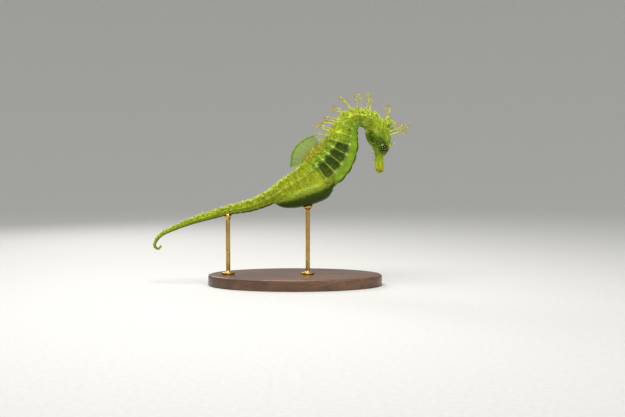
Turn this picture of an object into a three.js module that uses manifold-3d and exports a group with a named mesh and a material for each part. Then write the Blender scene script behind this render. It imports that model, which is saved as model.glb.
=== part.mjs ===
// A long-snouted seahorse, an adult male with a full brood pouch, as a life-size museum model on a
// display stand. It hovers with its trunk leaning forward, its neck arched, its snout pointing down
// and its tail stretched out behind.
//
// Millimetres. +Z is up and +X is the way the animal faces; its right side is on -Y.
// The origin is the centre of the stand's underside.
import * as THREE from 'three';
import { mergeVertices } from 'three/addons/utils/BufferGeometryUtils.js';
import Module from 'manifold-3d';

const wasm = await Module();
wasm.setup();

// ---------------------------------------------------------------- driving dimensions

const PARTING = 0.3; // gap between neighbouring pieces
const TAIL_RINGS = 38;
const TRUNK_RINGS = 11;
const RING_PITCH = { tailTip: 1.2, tailBase: 4.2, trunkBase: 5.4, neck: 3.4 };

// The body's midline from the tail's tip to the mouth. deep and wide are half the depth and half
// the width there, and build picks the cross-section: 0 tail, 1 trunk, 2 head, 3 snout. y is how
// far the tail swings to the animal's left.
const STATIONS = [
  { x: -74.6, z: 21.5, y: 3.2, deep: 0.45, wide: 0.4, build: 0 },
  { x: -76.2, z: 19.5, y: 3.4, deep: 0.55, wide: 0.5, build: 0 },
  { x: -78.2, z: 21.2, y: 3.4, deep: 0.7, wide: 0.65, build: 0 },
  { x: -77.4, z: 24.0, y: 3.1, deep: 0.85, wide: 0.8, build: 0 },
  { x: -74.5, z: 27.3, y: 2.6, deep: 1.0, wide: 0.95, build: 0 },
  { x: -68.2, z: 30.6, y: 1.9, deep: 1.25, wide: 1.2, build: 0 },
  { x: -57.8, z: 34.7, y: 1.0, deep: 1.6, wide: 1.5, build: 0 },
  { x: -46.8, z: 38.0, y: 0.4, deep: 1.95, wide: 1.8, build: 0 },
  { x: -35.8, z: 41.1, y: 0.1, deep: 2.35, wide: 2.15, build: 0 },
  { x: -24.8, z: 43.3, y: 0, deep: 3.0, wide: 2.7, build: 0 },
  { x: -13.2, z: 48.1, y: 0, deep: 3.9, wide: 3.3, build: 0 },
  { x: -2.5, z: 54.8, y: 0, deep: 5.2, wide: 4.1, build: 0.1 },
  { x: 5.0, z: 58.0, y: 0, deep: 7.4, wide: 4.8, build: 0.5 },
  { x: 11.8, z: 60.8, y: 0, deep: 10.2, wide: 5.3, build: 1 },
  { x: 20.2, z: 68.2, y: 0, deep: 11.4, wide: 5.8, build: 1 },
  { x: 25.4, z: 77.0, y: 0, deep: 9.6, wide: 5.5, build: 1 },
  { x: 27.3, z: 83.9, y: 0, deep: 7.6, wide: 4.9, build: 1 },
  { x: 29.5, z: 88.7, y: 0, deep: 6.0, wide: 4.5, build: 1 },
  { x: 33.5, z: 91.6, y: 0, deep: 4.85, wide: 4.2, build: 1 },
  { x: 38.4, z: 91.1, y: 0, deep: 4.6, wide: 4.0, build: 1 },
  { x: 42.4, z: 88.6, y: 0, deep: 5.3, wide: 4.1, build: 1.5 },
  { x: 44.8, z: 84.5, y: 0, deep: 6.7, wide: 4.3, build: 2 },
  { x: 46.6, z: 79.9, y: 0, deep: 6.6, wide: 4.1, build: 2 },
  { x: 47.0, z: 75.1, y: 0, deep: 4.15, wide: 3.1, build: 2 },
  { x: 46.3, z: 71.1, y: 0, deep: 2.5, wide: 2.1, build: 3 },
  { x: 46.4, z: 66.8, y: 0, deep: 2.35, wide: 1.8, build: 3 },
  { x: 46.7, z: 63.8, y: 0, deep: 2.3, wide: 1.95, build: 3 },
  { x: 47.2, z: 61.9, y: 0, deep: 1.3, wide: 1.2, build: 3 },
];
const VENT = 13; // the station where the trunk meets the tail
const CLEITHRUM = 20; // the station where the neck meets the head
const SNOUT_ROOT = 24;

// Each cross-section is seven ridges joined by plates: superior, lateral and inferior on each side,
// and the keel below. [sideways, towards the back] as shares of wide and deep. crown is how far a
// plate stands out between its ridges: rounded on the head, sunken on the armoured trunk and tail.
const SECTIONS = [
  { superior: [0.8, 0.9], lateral: [1, 0], inferior: [0.78, -0.9], keel: [0, -0.94], crown: -0.02 },
  { superior: [0.6, 0.94], lateral: [1, 0.3], inferior: [0.74, -0.48], keel: [0, -1], crown: -0.025 },
  { superior: [0.56, 0.84], lateral: [1, 0.16], inferior: [0.72, -0.62], keel: [0, -1], crown: 0.09 },
  { superior: [0.62, 0.78], lateral: [1, 0], inferior: [0.66, -0.76], keel: [0, -1], crown: 0.13 },
];

// How far tubercles stand out of the ridges, and how deep the joints between rings sink.
const TUBERCLE = { trunk: 1.0, trunkLarge: 1.7, tail: 0.75, tailLarge: 1.25, every: 3 };
const JOINT_SINK = 0.05;
const CREST_RISE = 0.02;

// Points taken on each plate of a cross-section, and the spacing of sections along the head.
const PER_PLATE = { tail: 1, trunk: 2, head: 3 };
const HEAD_STEP = 2.2;

// rim is the radius of the bony ring round the eye, and its reach is how far it stands sideways.
const EYE = { x: 48.6, z: 75.2, y: 2.45, radius: 2.0, rim: 2.75, rimDepth: 1.6, rimReach: 1.55 };
const GILL_COVER = { x: 44.9, z: 82.5, y: 3.0, long: 4.6, high: 3.9, out: 1.6, tilt: -62 };
const CORONET = { x: 49.7, z: 87.8, rise: 44, height: 4.6, radius: 2.0, points: 5 };

// The spines above each eye, on each cheek and on the nose: where each stands on the left side, its
// angle above straight ahead, how far it leans outwards, and its length.
const HEAD_SPINES = [
  { x: 50.6, y: 2.6, z: 77.0, angle: 30, lean: 30, length: 2.6 },
  { x: 42.6, y: 3.0, z: 77.8, angle: 205, lean: 30, length: 1.7 },
  { x: 48.9, y: 0.8, z: 71.9, angle: 20, lean: 12, length: 1.4 },
];
const SPINE = { root: 0.8, tip: 0.28, sunk: 1.0, sides: 5 };

// Short barbels in a row along the throat. The first is ahead of the snout's root, and the others
// follow towards the cheeks.
const BARBELS = { count: 6, ahead: 3.2, spacing: 1.4, inset: 0.8, aside: 0.6, length: 2.4, slant: 0.4 };
const BARBEL_RADIUS = { root: 0.34, tip: 0.27 };

// Skin filaments: sunk is how much of the root lies in the flesh, bow how many degrees the lower
// half leans away from the tip, and the forks are shares of the filament's length.
const FILAMENT = { root: 0.42, tip: 0.28, sides: 4, sunk: 0.7, bow: 12 };
const FORK = { turn: 28, turnMore: 8, first: 0.2, apart: 0.3, long: 0.34, less: 0.06 };

// The filaments of the head, for the right side and the left: the long ones of the brow, which reach
// forward, the shorter ones above them, and the lash over each eye.
const HEAD_FILAMENTS = [
  { x: 50.2, y: 2.4, z: 82.4, right: [23, 13.8], left: [34, 11.0], lean: 12, bow: 7, forks: 3 },
  { x: 51.0, y: 1.8, z: 84.2, right: [26, 9.6], left: [44, 8.0], lean: 6, bow: 5, forks: 1 },
  { x: 51.6, y: 3.2, z: 77.2, right: [12, 3.2], left: [12, 3.2], lean: 16, bow: 4, forks: 0 },
];
const CORONET_FILAMENTS = [
  { x: 49.9, y: -0.9, z: 90.0, angle: 94, lean: -8, length: 9.5 },
  { x: 50.6, y: 0.9, z: 90.6, angle: 81, lean: 8, length: 9.0 },
];

// The brood pouch, from its rear end to its opening below the vent.
const POUCH = [
  { x: -11.4, z: 45.6, deep: 0.5, wide: 0.6 },
  { x: -8.2, z: 45.6, deep: 2.4, wide: 3.0 },
  { x: -2.5, z: 46.6, deep: 4.2, wide: 5.0 },
  { x: 4.0, z: 48.4, deep: 5.1, wide: 6.0 },
  { x: 11.0, z: 50.8, deep: 5.5, wide: 6.0 },
  { x: 17.0, z: 53.4, deep: 4.6, wide: 4.9 },
  { x: 20.4, z: 55.4, deep: 1.6, wide: 1.9 },
];

// Fins are fans of rays: their length, the directions of the first and last ray, and how wide their
// bases are. The dorsal fin's rays are longest near its middle.
const FIN = { thick: 0.6, rows: 3 };
const DORSAL = {
  columns: 9, first: 122, sweep: 62, length: 7.6, longer: 3.3, rearLonger: 0.6, ripple: 0.45,
};
const PECTORAL = { columns: 6, base: 2.8, out: 3.3, spread: 2, flare: 0.85, length: 5.2, shorter: 3.0 };
const ANAL = { columns: 4, base: 1.8, spread: 0.9, length: 3.4, ahead: 1.4 };
const FIN_ROOT = 0.8; // how far a fin's base is sunk in the flesh

const STAND = {
  length: 96, width: 50, thick: 6, chamfer: 1.2, footing: 0.8, sides: 40,
  rodRadius: 1.2, footRadius: 3.6, footThick: 1.2,
};
const RODS = {
  front: { x: 7.0, top: 46.5, cupRadius: 2.6, cupHeight: 5.2 },
  rear: { x: -37.0, top: 39.2, cupRadius: 2.0, cupHeight: 3.0 },
};

// ---------------------------------------------------------------- colours

function material(color, roughness, metalness = 0) {
  return new THREE.MeshStandardMaterial({ color, roughness, metalness });
}
const HIDE = material(0x9fa838, 0.55);
const POUCH_HIDE = material(0x6f7424, 0.5);
const FIN_MEMBRANE = material(0xa9b24a, 0.45);
const EYEBALL = material(0x1d2410, 0.12);
const CROWN_HIDE = material(0xb9c05a, 0.55);
const WOOD = material(0x5b4330, 0.5);
const BRASS = material(0xb8934a, 0.3, 1);

// ---------------------------------------------------------------- curves

// A smooth curve through values[i] at knots[i].
function track(knots, values) {
  const last = knots.length - 1;
  const rise = (i) => (values[i + 1] - values[i]) / (knots[i + 1] - knots[i]);
  const slopes = knots.map((_, i) => {
    if (i === 0) return rise(0);
    if (i === last) return rise(last - 1);
    const before = knots[i] - knots[i - 1];
    const after = knots[i + 1] - knots[i];
    return (rise(i) * before + rise(i - 1) * after) / (before + after);
  });
  return (s) => {
    let i = 0;
    while (i < last - 1 && s > knots[i + 1]) i += 1;
    const span = knots[i + 1] - knots[i];
    const u = THREE.MathUtils.clamp((s - knots[i]) / span, 0, 1);
    const blend = u * u * (3 - 2 * u);
    const leave = u * (1 - u) * (1 - u) * span * slopes[i];
    const arrive = u * u * (1 - u) * span * slopes[i + 1];
    return values[i] + (values[i + 1] - values[i]) * blend + leave - arrive;
  };
}

// Distances along a chain of stations.
function distances(stations) {
  const found = [0];
  for (let i = 1; i < stations.length; i += 1) {
    const [a, b] = [stations[i - 1], stations[i]];
    found.push(found[i - 1] + Math.hypot(b.x - a.x, b.z - a.z));
  }
  return found;
}

const KNOTS = distances(STATIONS);
const MIDLINE = Object.fromEntries(
  Object.keys(STATIONS[0]).map((key) => [key, track(KNOTS, STATIONS.map((station) => station[key]))]),
);

// The midline's point at s, its direction towards the mouth and the direction of the back.
function midline(s) {
  const step = 0.05;
  const point = new THREE.Vector3(MIDLINE.x(s), MIDLINE.y(s), MIDLINE.z(s));
  const dx = MIDLINE.x(s + step) - MIDLINE.x(s - step);
  const dz = MIDLINE.z(s + step) - MIDLINE.z(s - step);
  const forward = new THREE.Vector3(dx, 0, dz).normalize();
  return { point, forward, back: new THREE.Vector3(-forward.z, 0, forward.x) };
}

// ---------------------------------------------------------------- rings

// The edges of the armour rings, from the tail's tip to the cleithrum.
function ringEdges() {
  const { tailTip, tailBase, trunkBase, neck } = RING_PITCH;
  const run = (from, to, count, first, last) => {
    const pitchOf = (_, i) => first + ((last - first) * i) / (count - 1);
    const pitches = Array.from({ length: count }, pitchOf);
    const scale = (to - from) / pitches.reduce((sum, pitch) => sum + pitch, 0);
    let edge = from;
    return pitches.map((pitch) => {
      edge += pitch * scale;
      return edge;
    });
  };
  const tail = run(0, KNOTS[VENT], TAIL_RINGS, tailTip, tailBase);
  const trunk = run(KNOTS[VENT], KNOTS[CLEITHRUM], TRUNK_RINGS, trunkBase, neck);
  return [0, ...tail, ...trunk];
}
const EDGES = ringEdges();

// The far edge of the nth ring of the trunk or of the tail, counted from the head.
const trunkEdge = (n) => EDGES[EDGES.length - 1 - n];
const tailEdge = (n) => EDGES[TAIL_RINGS - n];

// Places along one ring where a cross-section is taken: its joint, then its crest, which stands out.
function ringSteps(ring) {
  const [start, end] = [EDGES[ring], EDGES[ring + 1]];
  const place = (share, crest) => ({ s: start + (end - start) * share, crest, ring });
  if (ring < TAIL_RINGS) return [place(0, -1), place(0.5, 1)];
  return [place(0, -1), place(0.34, 0.1), place(0.5, 1), place(0.66, 0.1)];
}

function tubercle(ring, crest) {
  if (crest < 1) return 0;
  const onTail = ring < TAIL_RINGS;
  const large = (TAIL_RINGS + TRUNK_RINGS - ring) % TUBERCLE.every === 1;
  if (!onTail) return large ? TUBERCLE.trunkLarge : TUBERCLE.trunk;
  const taper = 0.25 + (0.75 * ring) / TAIL_RINGS;
  return taper * (large ? TUBERCLE.tailLarge : TUBERCLE.tail);
}

// ---------------------------------------------------------------- cross-sections

const RIDGE_NAMES = ['superior', 'lateral', 'inferior', 'keel'];

// The seven ridges of the cross-section, from the right superior one round below to the left, and
// the crown of its plates, for any build between the four kinds.
function ridgesAt(blend) {
  const build = THREE.MathUtils.clamp(blend, 0, SECTIONS.length - 1);
  const low = Math.min(Math.floor(build), SECTIONS.length - 2);
  const share = build - low;
  const mix = (a, b) => a + (b - a) * share;
  const [here, next] = [SECTIONS[low], SECTIONS[low + 1]];
  const pair = (key) => here[key].map((value, i) => mix(value, next[key][i]));
  const [superior, lateral, inferior, keel] = RIDGE_NAMES.map(pair);
  const left = [superior, lateral, inferior].reverse();
  const right = [superior, lateral, inferior].map(([y, n]) => [-y, n]);
  return { ridges: [...right, keel, ...left], crown: mix(here.crown, next.crown) };
}

// How far the tubercle on each ridge stands out, as a share of the tallest. The pouch covers the
// inferior and keel ridges of the tail's first rings, and those stay smooth.
const TUBERCLE_SHARES = { superior: 1, lateral: 0.8, inferior: 0.4, keel: 0.08 };
const POUCH_RINGS = 9;

function tubercleShares(ring) {
  const { superior, lateral, inferior, keel } = TUBERCLE_SHARES;
  const covered = ring < TAIL_RINGS + 2 && ring >= TAIL_RINGS - POUCH_RINGS;
  const [low, lowest] = covered ? [0, 0] : [inferior, keel];
  return [superior, lateral, low, lowest, low, lateral, superior];
}

// The outline of the body at s, as points in space. perPlate points lie on each plate.
function outline({ s, crest = 0, ring = -1 }, perPlate, grow = 0) {
  const { point, back } = midline(s);
  const { ridges, crown } = ridgesAt(MIDLINE.build(s));
  const wide = MIDLINE.wide(s) + grow;
  const deep = MIDLINE.deep(s) + grow;
  const swell = 1 + (crest > 0 ? CREST_RISE * crest : JOINT_SINK * crest);
  const spike = ring < 0 ? 0 : tubercle(ring, crest);
  const shares = tubercleShares(ring);
  const points = [];
  ridges.forEach(([y, n], k) => {
    const [nextY, nextN] = ridges[(k + 1) % ridges.length];
    for (let j = 0; j < perPlate; j += 1) {
      const f = j / perPlate;
      const out = new THREE.Vector2(y + (nextY - y) * f, n + (nextN - n) * f);
      out.multiplyScalar(1 + 4 * f * (1 - f) * crown).multiplyScalar(swell);
      const flesh = new THREE.Vector2(out.x * wide, out.y * deep);
      flesh.addScaledVector(flesh.clone().normalize(), j === 0 ? spike * shares[k] : 0);
      const placed = point.clone().addScaledVector(back, flesh.y);
      placed.y += flesh.x;
      points.push(placed);
    }
  });
  return points;
}

// ---------------------------------------------------------------- solids

// A closed skin over a row of outlines that all have the same number of points.
function loft(outlines) {
  const sides = outlines[0].length;
  const total = (points) => points.reduce((sum, p) => sum.add(p), new THREE.Vector3());
  const centre = (points) => total(points).divideScalar(sides);
  const vertices = [...outlines.flat(), centre(outlines[0]), centre(outlines.at(-1))];
  const [startCap, endCap] = [vertices.length - 2, vertices.length - 1];
  const lastRow = (outlines.length - 1) * sides;
  const faces = [];
  for (let j = 0; j < sides; j += 1) {
    const next = (j + 1) % sides;
    for (let i = 0; i < outlines.length - 1; i += 1) {
      const [a, b] = [i * sides + j, i * sides + next];
      const [c, d] = [b + sides, a + sides];
      faces.push(a, b, c, a, c, d);
    }
    faces.push(startCap, next, j, endCap, lastRow + j, lastRow + next);
  }
  return facingOut(new THREE.BufferGeometry().setFromPoints(vertices).setIndex(faces));
}

// The same geometry, turned right side out if its faces point inwards.
function facingOut(geometry) {
  const position = geometry.attributes.position;
  const index = Array.from(geometry.index.array);
  const corner = (i) => new THREE.Vector3().fromBufferAttribute(position, index[i]);
  let volume = 0;
  for (let i = 0; i < index.length; i += 3) {
    volume += corner(i).dot(corner(i + 1).cross(corner(i + 2)));
  }
  return volume > 0 ? geometry : geometry.setIndex(index.reverse());
}

function solid(geometry) {
  const bare = geometry.clone();
  bare.deleteAttribute('normal');
  bare.deleteAttribute('uv');
  const merged = mergeVertices(bare, 1e-4);
  const vertProperties = merged.attributes.position.array;
  return new wasm.Manifold(new wasm.Mesh({ numProp: 3, vertProperties, triVerts: merged.index.array }));
}

function geometryOf(manifold) {
  const mesh = manifold.getMesh();
  const position = new THREE.BufferAttribute(new Float32Array(mesh.vertProperties), mesh.numProp);
  const geometry = new THREE.BufferGeometry().setAttribute('position', position);
  return geometry.setIndex(new THREE.BufferAttribute(new Uint32Array(mesh.triVerts), 1));
}

const join = (first, ...others) => others.reduce((sum, other) => sum.add(other), first);

// A length of the body from one place on the midline to another. grow makes it that much fatter,
// which is how the neighbours that lie against it are given their gap.
function bodyLength(from, to, perPlate, grow = 0) {
  const gap = grow ? -grow : PARTING / 2;
  const [start, end] = [from + gap, to - gap];
  const crest = (s) => (s < KNOTS[CLEITHRUM] ? -1 : 0);
  const closest = 0.2;
  const steps = [{ s: start, crest: crest(start) }];
  for (let ring = 0; ring < EDGES.length - 1; ring += 1) {
    steps.push(...ringSteps(ring).filter(({ s }) => s > start + closest && s < end - closest));
  }
  const headStart = Math.max(start, KNOTS[CLEITHRUM]);
  const headSteps = Math.ceil((end - headStart) / HEAD_STEP);
  for (let i = 1; i < headSteps; i += 1) {
    steps.push({ s: headStart + ((end - headStart) * i) / headSteps });
  }
  steps.push({ s: end, crest: crest(end) });
  return solid(loft(steps.map((step) => outline(step, perPlate, grow))));
}

// What lies ahead of a place on the midline, past half the parting there.
function aheadOf(manifold, s) {
  const { point, forward } = midline(s + PARTING / 2);
  return manifold.trimByPlane(forward.toArray(), forward.dot(point));
}

// The same length without rings or tubercles, just outside the crests of the plates.
function smoothLength(from, to, grow) {
  const count = Math.ceil((to - from) / 3);
  const outlines = Array.from({ length: count + 1 }, (_, i) => {
    const s = from + ((to - from) * i) / count;
    return outline({ s, crest: 1 }, PER_PLATE.trunk, grow);
  });
  return solid(loft(outlines));
}

// A round tapering strand through some points, such as a skin filament or a spine.
function strand(points, rootRadius, tipRadius, sides = FILAMENT.sides, rows = 2) {
  const curve = new THREE.CatmullRomCurve3(points);
  const frames = curve.computeFrenetFrames(rows);
  const outlines = Array.from({ length: rows + 1 }, (_, i) => {
    const radius = rootRadius + ((tipRadius - rootRadius) * i) / rows;
    const centre = curve.getPointAt(i / rows);
    return Array.from({ length: sides }, (__, j) => {
      const turn = (2 * Math.PI * j) / sides;
      return centre.clone()
        .addScaledVector(frames.normals[i], radius * Math.cos(turn))
        .addScaledVector(frames.binormals[i], radius * Math.sin(turn));
    });
  });
  return solid(loft(outlines));
}

// A fin: a thin curved plate over a fan of rays. ray(share) gives the root, way and length of the ray
// at a share of the way along the fin's base, and the sideways ripple of its tip.
function fin(columns, outwards, ray) {
  const half = outwards.clone().multiplyScalar(FIN.thick / 2);
  const outlines = Array.from({ length: FIN.rows + 1 }, (_, i) => {
    const row = Array.from({ length: columns + 1 }, (__, j) => {
      const { root, way, length, ripple = 0 } = ray(j / columns);
      const point = root.clone().addScaledVector(way, (length * i) / FIN.rows);
      point.y += (ripple * i) / FIN.rows;
      return point;
    });
    return [...row.map((p) => p.clone().add(half)), ...row.map((p) => p.clone().sub(half)).reverse()];
  });
  return solid(loft(outlines));
}

// ---------------------------------------------------------------- skin filaments

const degrees = THREE.MathUtils.degToRad;

// A direction in the plane of symmetry, in degrees above straight ahead, leaning to one side.
function heading(angle, sideways) {
  const lean = degrees(sideways);
  return new THREE.Vector3(
    Math.cos(degrees(angle)) * Math.cos(lean),
    Math.sin(lean),
    Math.sin(degrees(angle)) * Math.cos(lean),
  );
}

// A filament from root that bows towards the tail and forks near its tip.
function filament(root, angle, sideways, length, { bow = FILAMENT.bow, forks = 1 } = {}) {
  const along = heading(angle, sideways);
  const start = root.clone().addScaledVector(along, -FILAMENT.sunk);
  const middle = root.clone().addScaledVector(heading(angle - bow, sideways), length / 2);
  const tip = root.clone().addScaledVector(along, length);
  const stem = strand([start, middle, tip], FILAMENT.root, FILAMENT.tip);
  const twigs = Array.from({ length: forks }, (_, i) => {
    const turn = (i % 2 ? -1 : 1) * (FORK.turn + FORK.turnMore * i);
    const way = heading(angle + turn, sideways + turn / 3);
    const from = middle.clone().lerp(tip, FORK.first + FORK.apart * i);
    const to = from.clone().addScaledVector(way, length * (FORK.long - FORK.less * i));
    return strand([from, to], FILAMENT.tip, FILAMENT.tip, 3, 1);
  });
  return join(stem, ...twigs);
}

// The superior ridge at s: side is -1 for the right and 1 for the left.
function superiorRidge(s, side) {
  const { point, back } = midline(s);
  const [[y, n]] = ridgesAt(MIDLINE.build(s)).ridges;
  point.addScaledVector(back, n * MIDLINE.deep(s));
  point.y += Math.abs(y) * MIDLINE.wide(s) * side;
  return point;
}

// The mane: filaments on the superior ridges, fanning from upright over the neck to level behind the
// shoulders. at counts rings back from the cleithrum, side is -1 for the right and 1 for the left,
// and angle is above straight ahead.
const MANE = [
  { at: 1.6, side: -1, angle: 84, length: 9.7, forks: 1 },
  { at: 2.45, side: -1, angle: 103, length: 8.7, forks: 1 },
  { at: 2.95, side: -1, angle: 133, length: 10.9, forks: 1 },
  { at: 3.55, side: -1, angle: 150, length: 8.9, forks: 1 },
  { at: 4.25, side: -1, angle: 172, length: 9.4, forks: 1 },
  { at: 4.75, side: -1, angle: 176, length: 9.4, forks: 3 },
  { at: 5.6, side: -1, angle: 165, length: 10.4, forks: 1 },
  { at: 6.1, side: -1, angle: 174, length: 8.4, forks: 1 },
  { at: 7.6, side: -1, angle: 128, length: 2.6, forks: 0 },
  { at: 1.25, side: 1, angle: 78, length: 7.8, forks: 1 },
  { at: 2.1, side: 1, angle: 92, length: 9.3, forks: 1 },
  { at: 2.9, side: 1, angle: 124, length: 10.2, forks: 1 },
  { at: 3.5, side: 1, angle: 164, length: 8.4, forks: 1 },
  { at: 4.45, side: 1, angle: 168, length: 7.4, forks: 1 },
  { at: 5.4, side: 1, angle: 157, length: 8.6, forks: 2 },
  { at: 7.4, side: 1, angle: 134, length: 2.3, forks: 0 },
];

const MANE_LEAN = 12;

function mane(from, to) {
  return MANE.filter(({ at }) => at > from && at < to).map(({ at, side, angle, length, forks }) => {
    const ring = Math.floor(at);
    const s = trunkEdge(ring) + (trunkEdge(ring + 1) - trunkEdge(ring)) * (at - ring);
    return filament(superiorRidge(s, side), angle, side * MANE_LEAN, length, { forks });
  });
}

// ---------------------------------------------------------------- the animal's pieces

const bothSides = (make) => [-1, 1].map(make);

function eyeSolid(side, radius) {
  const ball = new THREE.SphereGeometry(radius, 12, 9);
  return solid(ball.rotateX(Math.PI / 2).translate(EYE.x, side * EYE.y, EYE.z));
}

// The bony rim around an eye, a dome that the eyeball looks out of.
function orbit(side) {
  const { rim, rimDepth, rimReach } = EYE;
  const profile = [
    [0, -rimDepth], [rim, -rimDepth], [rim, 0],
    [rim - 0.35, rimReach * 0.7], [rim - 0.9, rimReach], [0, rimReach],
  ];
  const dome = new THREE.LatheGeometry(profile.map(([r, h]) => new THREE.Vector2(r, h)), 11);
  dome.rotateX(side > 0 ? 0 : Math.PI);
  return solid(dome.translate(EYE.x, side * EYE.y, EYE.z));
}

function gillCover(side) {
  const { x, y, z, long, out, high, tilt } = GILL_COVER;
  const shell = new THREE.SphereGeometry(1, 11, 6).scale(long, out, high);
  return solid(shell.rotateY(degrees(-tilt)).translate(x, side * y, z));
}

function headSpines(side) {
  return HEAD_SPINES.map(({ x, y, z, angle, lean, length }) => {
    const root = new THREE.Vector3(x, side * y, z);
    const way = heading(angle, side * lean);
    const at = (reach) => root.clone().addScaledVector(way, reach);
    return strand([at(-SPINE.sunk), at(length / 2), at(length)], SPINE.root, SPINE.tip, SPINE.sides);
  });
}

// The barbels of the throat whose roots lie between two places on the midline.
function throatBarbels(from, to) {
  const root = KNOTS[SNOUT_ROOT] + BARBELS.ahead;
  const places = Array.from({ length: BARBELS.count }, (_, i) => root - BARBELS.spacing * i);
  return places.filter((s) => s > from && s < to).map((s, i) => {
    const { point, back, forward } = midline(s);
    point.addScaledVector(back, -BARBELS.inset * MIDLINE.deep(s));
    point.y += i % 2 ? BARBELS.aside : -BARBELS.aside;
    const tip = point.clone().addScaledVector(back, -BARBELS.length);
    tip.addScaledVector(forward, BARBELS.slant);
    return strand([point, tip], BARBEL_RADIUS.root, BARBEL_RADIUS.tip, 4, 1);
  });
}

function headFilaments(side) {
  return HEAD_FILAMENTS.map(({ x, y, z, right, left, lean, bow, forks }) => {
    const [angle, length] = side < 0 ? right : left;
    return filament(new THREE.Vector3(x, side * y, z), angle, side * lean, length, { bow, forks });
  });
}

function head() {
  const [cleithrum, snoutRoot] = [KNOTS[CLEITHRUM], KNOTS[SNOUT_ROOT]];
  const skull = bodyLength(cleithrum, snoutRoot, PER_PLATE.head);
  const relief = bothSides((side) => [orbit(side), gillCover(side), ...headSpines(side)]).flat();
  const sockets = bothSides((side) => eyeSolid(side, EYE.radius + PARTING));
  const fleshed = aheadOf(join(skull, ...relief).subtract(join(...sockets)), cleithrum);
  return join(fleshed, ...bothSides(headFilaments).flat(), ...throatBarbels(cleithrum, snoutRoot));
}

function snout() {
  const [root, mouth] = [KNOTS[SNOUT_ROOT], KNOTS.at(-1)];
  return join(bodyLength(root, mouth, PER_PLATE.trunk), ...throatBarbels(root, mouth));
}

// The coronet: a short stout column that flares into a crown of five blunt points, with two
// filaments standing on its rear edge. Its rows are shares of its height and radius, and star is how
// far the crown's lobes stand out.
const CORONET_ROWS = [
  { up: -0.47, out: 0.9, star: 0 },
  { up: 0.13, out: 0.86, star: 0.05 },
  { up: 0.39, out: 0.8, star: 0.1 },
  { up: 0.68, out: 1.0, star: 0.16 },
  { up: 0.82, out: 0.82, star: 0.2 },
  { up: 0.66, out: 0.4, star: 0.1 },
];
const CORONET_POINT = [[0.75, 0.45], [1.07, 0.76], [1.2, 1.0]]; // shares outwards and upwards

function coronet() {
  const { x, z, rise, height, radius, points } = CORONET;
  const sides = points * 2;
  const around = (turn, out, up) => (
    new THREE.Vector3(out * radius * Math.cos(turn), out * radius * Math.sin(turn), up * height)
  );
  const outlines = CORONET_ROWS.map(({ up, out, star }) => Array.from({ length: sides }, (_, j) => {
    const turn = (2 * Math.PI * j) / sides;
    return around(turn, out * (1 + star * Math.cos(points * turn)), up);
  }));
  const tines = Array.from({ length: points }, (_, i) => {
    const turn = (2 * Math.PI * i) / points;
    return strand(CORONET_POINT.map(([out, up]) => around(turn, out, up)), 0.55, 0.3);
  });
  const crown = join(solid(loft(outlines)), ...tines).rotate([0, 90 - rise, 0]).translate([x, 0, z]);
  const filaments = CORONET_FILAMENTS.map(({ x: fx, y: fy, z: fz, angle, lean, length }) => (
    filament(new THREE.Vector3(fx, fy, fz), angle, lean, length, { bow: 6 })
  ));
  return join(crown, ...filaments);
}

// The fan of rays on the back, from the trunk's last rings on to the tail.
function dorsalFin() {
  const [front, rear] = [trunkEdge(8) - 1.0, tailEdge(1) - 0.5];
  return fin(DORSAL.columns, new THREE.Vector3(0, 1, 0), (share) => {
    const s = front + (rear - front) * share;
    const { point, back } = midline(s);
    const root = point.addScaledVector(back, MIDLINE.deep(s) * 0.94 - FIN_ROOT);
    const middle = Math.sin(Math.PI * share);
    const length = DORSAL.length + DORSAL.rearLonger * share + DORSAL.longer * middle;
    const way = heading(DORSAL.first + DORSAL.sweep * share, 0);
    return { root, way, length, ripple: DORSAL.ripple * Math.sin(share * 7) };
  });
}

// The small fan behind each gill cover, held half open and away from the neck.
function pectoralFin(side) {
  const { point, back, forward } = midline(KNOTS[CLEITHRUM] - 1.4);
  const out = new THREE.Vector3(0, side, 0);
  const { base, out: aside, spread, flare, length, shorter } = PECTORAL;
  const across = forward.clone().multiplyScalar(Math.sin(flare)).addScaledVector(out, Math.cos(flare));
  return fin(PECTORAL.columns, across, (share) => {
    const place = share - 0.5;
    const root = point.clone().addScaledVector(back, base * place - 0.6).addScaledVector(out, aside);
    const way = forward.clone().multiplyScalar(-Math.cos(place * spread));
    way.addScaledVector(back, Math.sin(place * spread));
    way.multiplyScalar(Math.cos(flare)).addScaledVector(out, Math.sin(flare));
    return { root, way, length: length - shorter * place * place };
  });
}

// The tiny fin below the vent, in front of the pouch's opening.
function analFin() {
  const { point, back, forward } = midline(KNOTS[VENT] + ANAL.ahead);
  point.addScaledVector(back, FIN_ROOT - MIDLINE.deep(KNOTS[VENT]));
  return fin(ANAL.columns, new THREE.Vector3(0, 1, 0), (share) => {
    const place = share - 0.5;
    const root = point.clone().addScaledVector(forward, ANAL.base * place);
    const way = back.clone().negate().addScaledVector(forward, place * ANAL.spread).normalize();
    return { root, way, length: ANAL.length };
  });
}

function pouch() {
  const knots = distances(POUCH);
  const shape = (key) => track(knots, POUCH.map((station) => station[key]));
  const [x, z, deep, wide] = ['x', 'z', 'deep', 'wide'].map(shape);
  const rows = 10;
  const sides = 14;
  const outlines = Array.from({ length: rows + 1 }, (_, i) => {
    const s = (knots.at(-1) * i) / rows;
    const way = new THREE.Vector3(x(s + 0.1) - x(s - 0.1), 0, z(s + 0.1) - z(s - 0.1)).normalize();
    const up = new THREE.Vector3(-way.z, 0, way.x);
    return Array.from({ length: sides }, (__, j) => {
      const turn = (2 * Math.PI * j) / sides;
      const point = new THREE.Vector3(x(s), wide(s) * Math.sin(turn), z(s));
      return point.addScaledVector(up, deep(s) * Math.cos(turn));
    });
  });
  return solid(loft(outlines));
}

// ---------------------------------------------------------------- the stand

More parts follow.
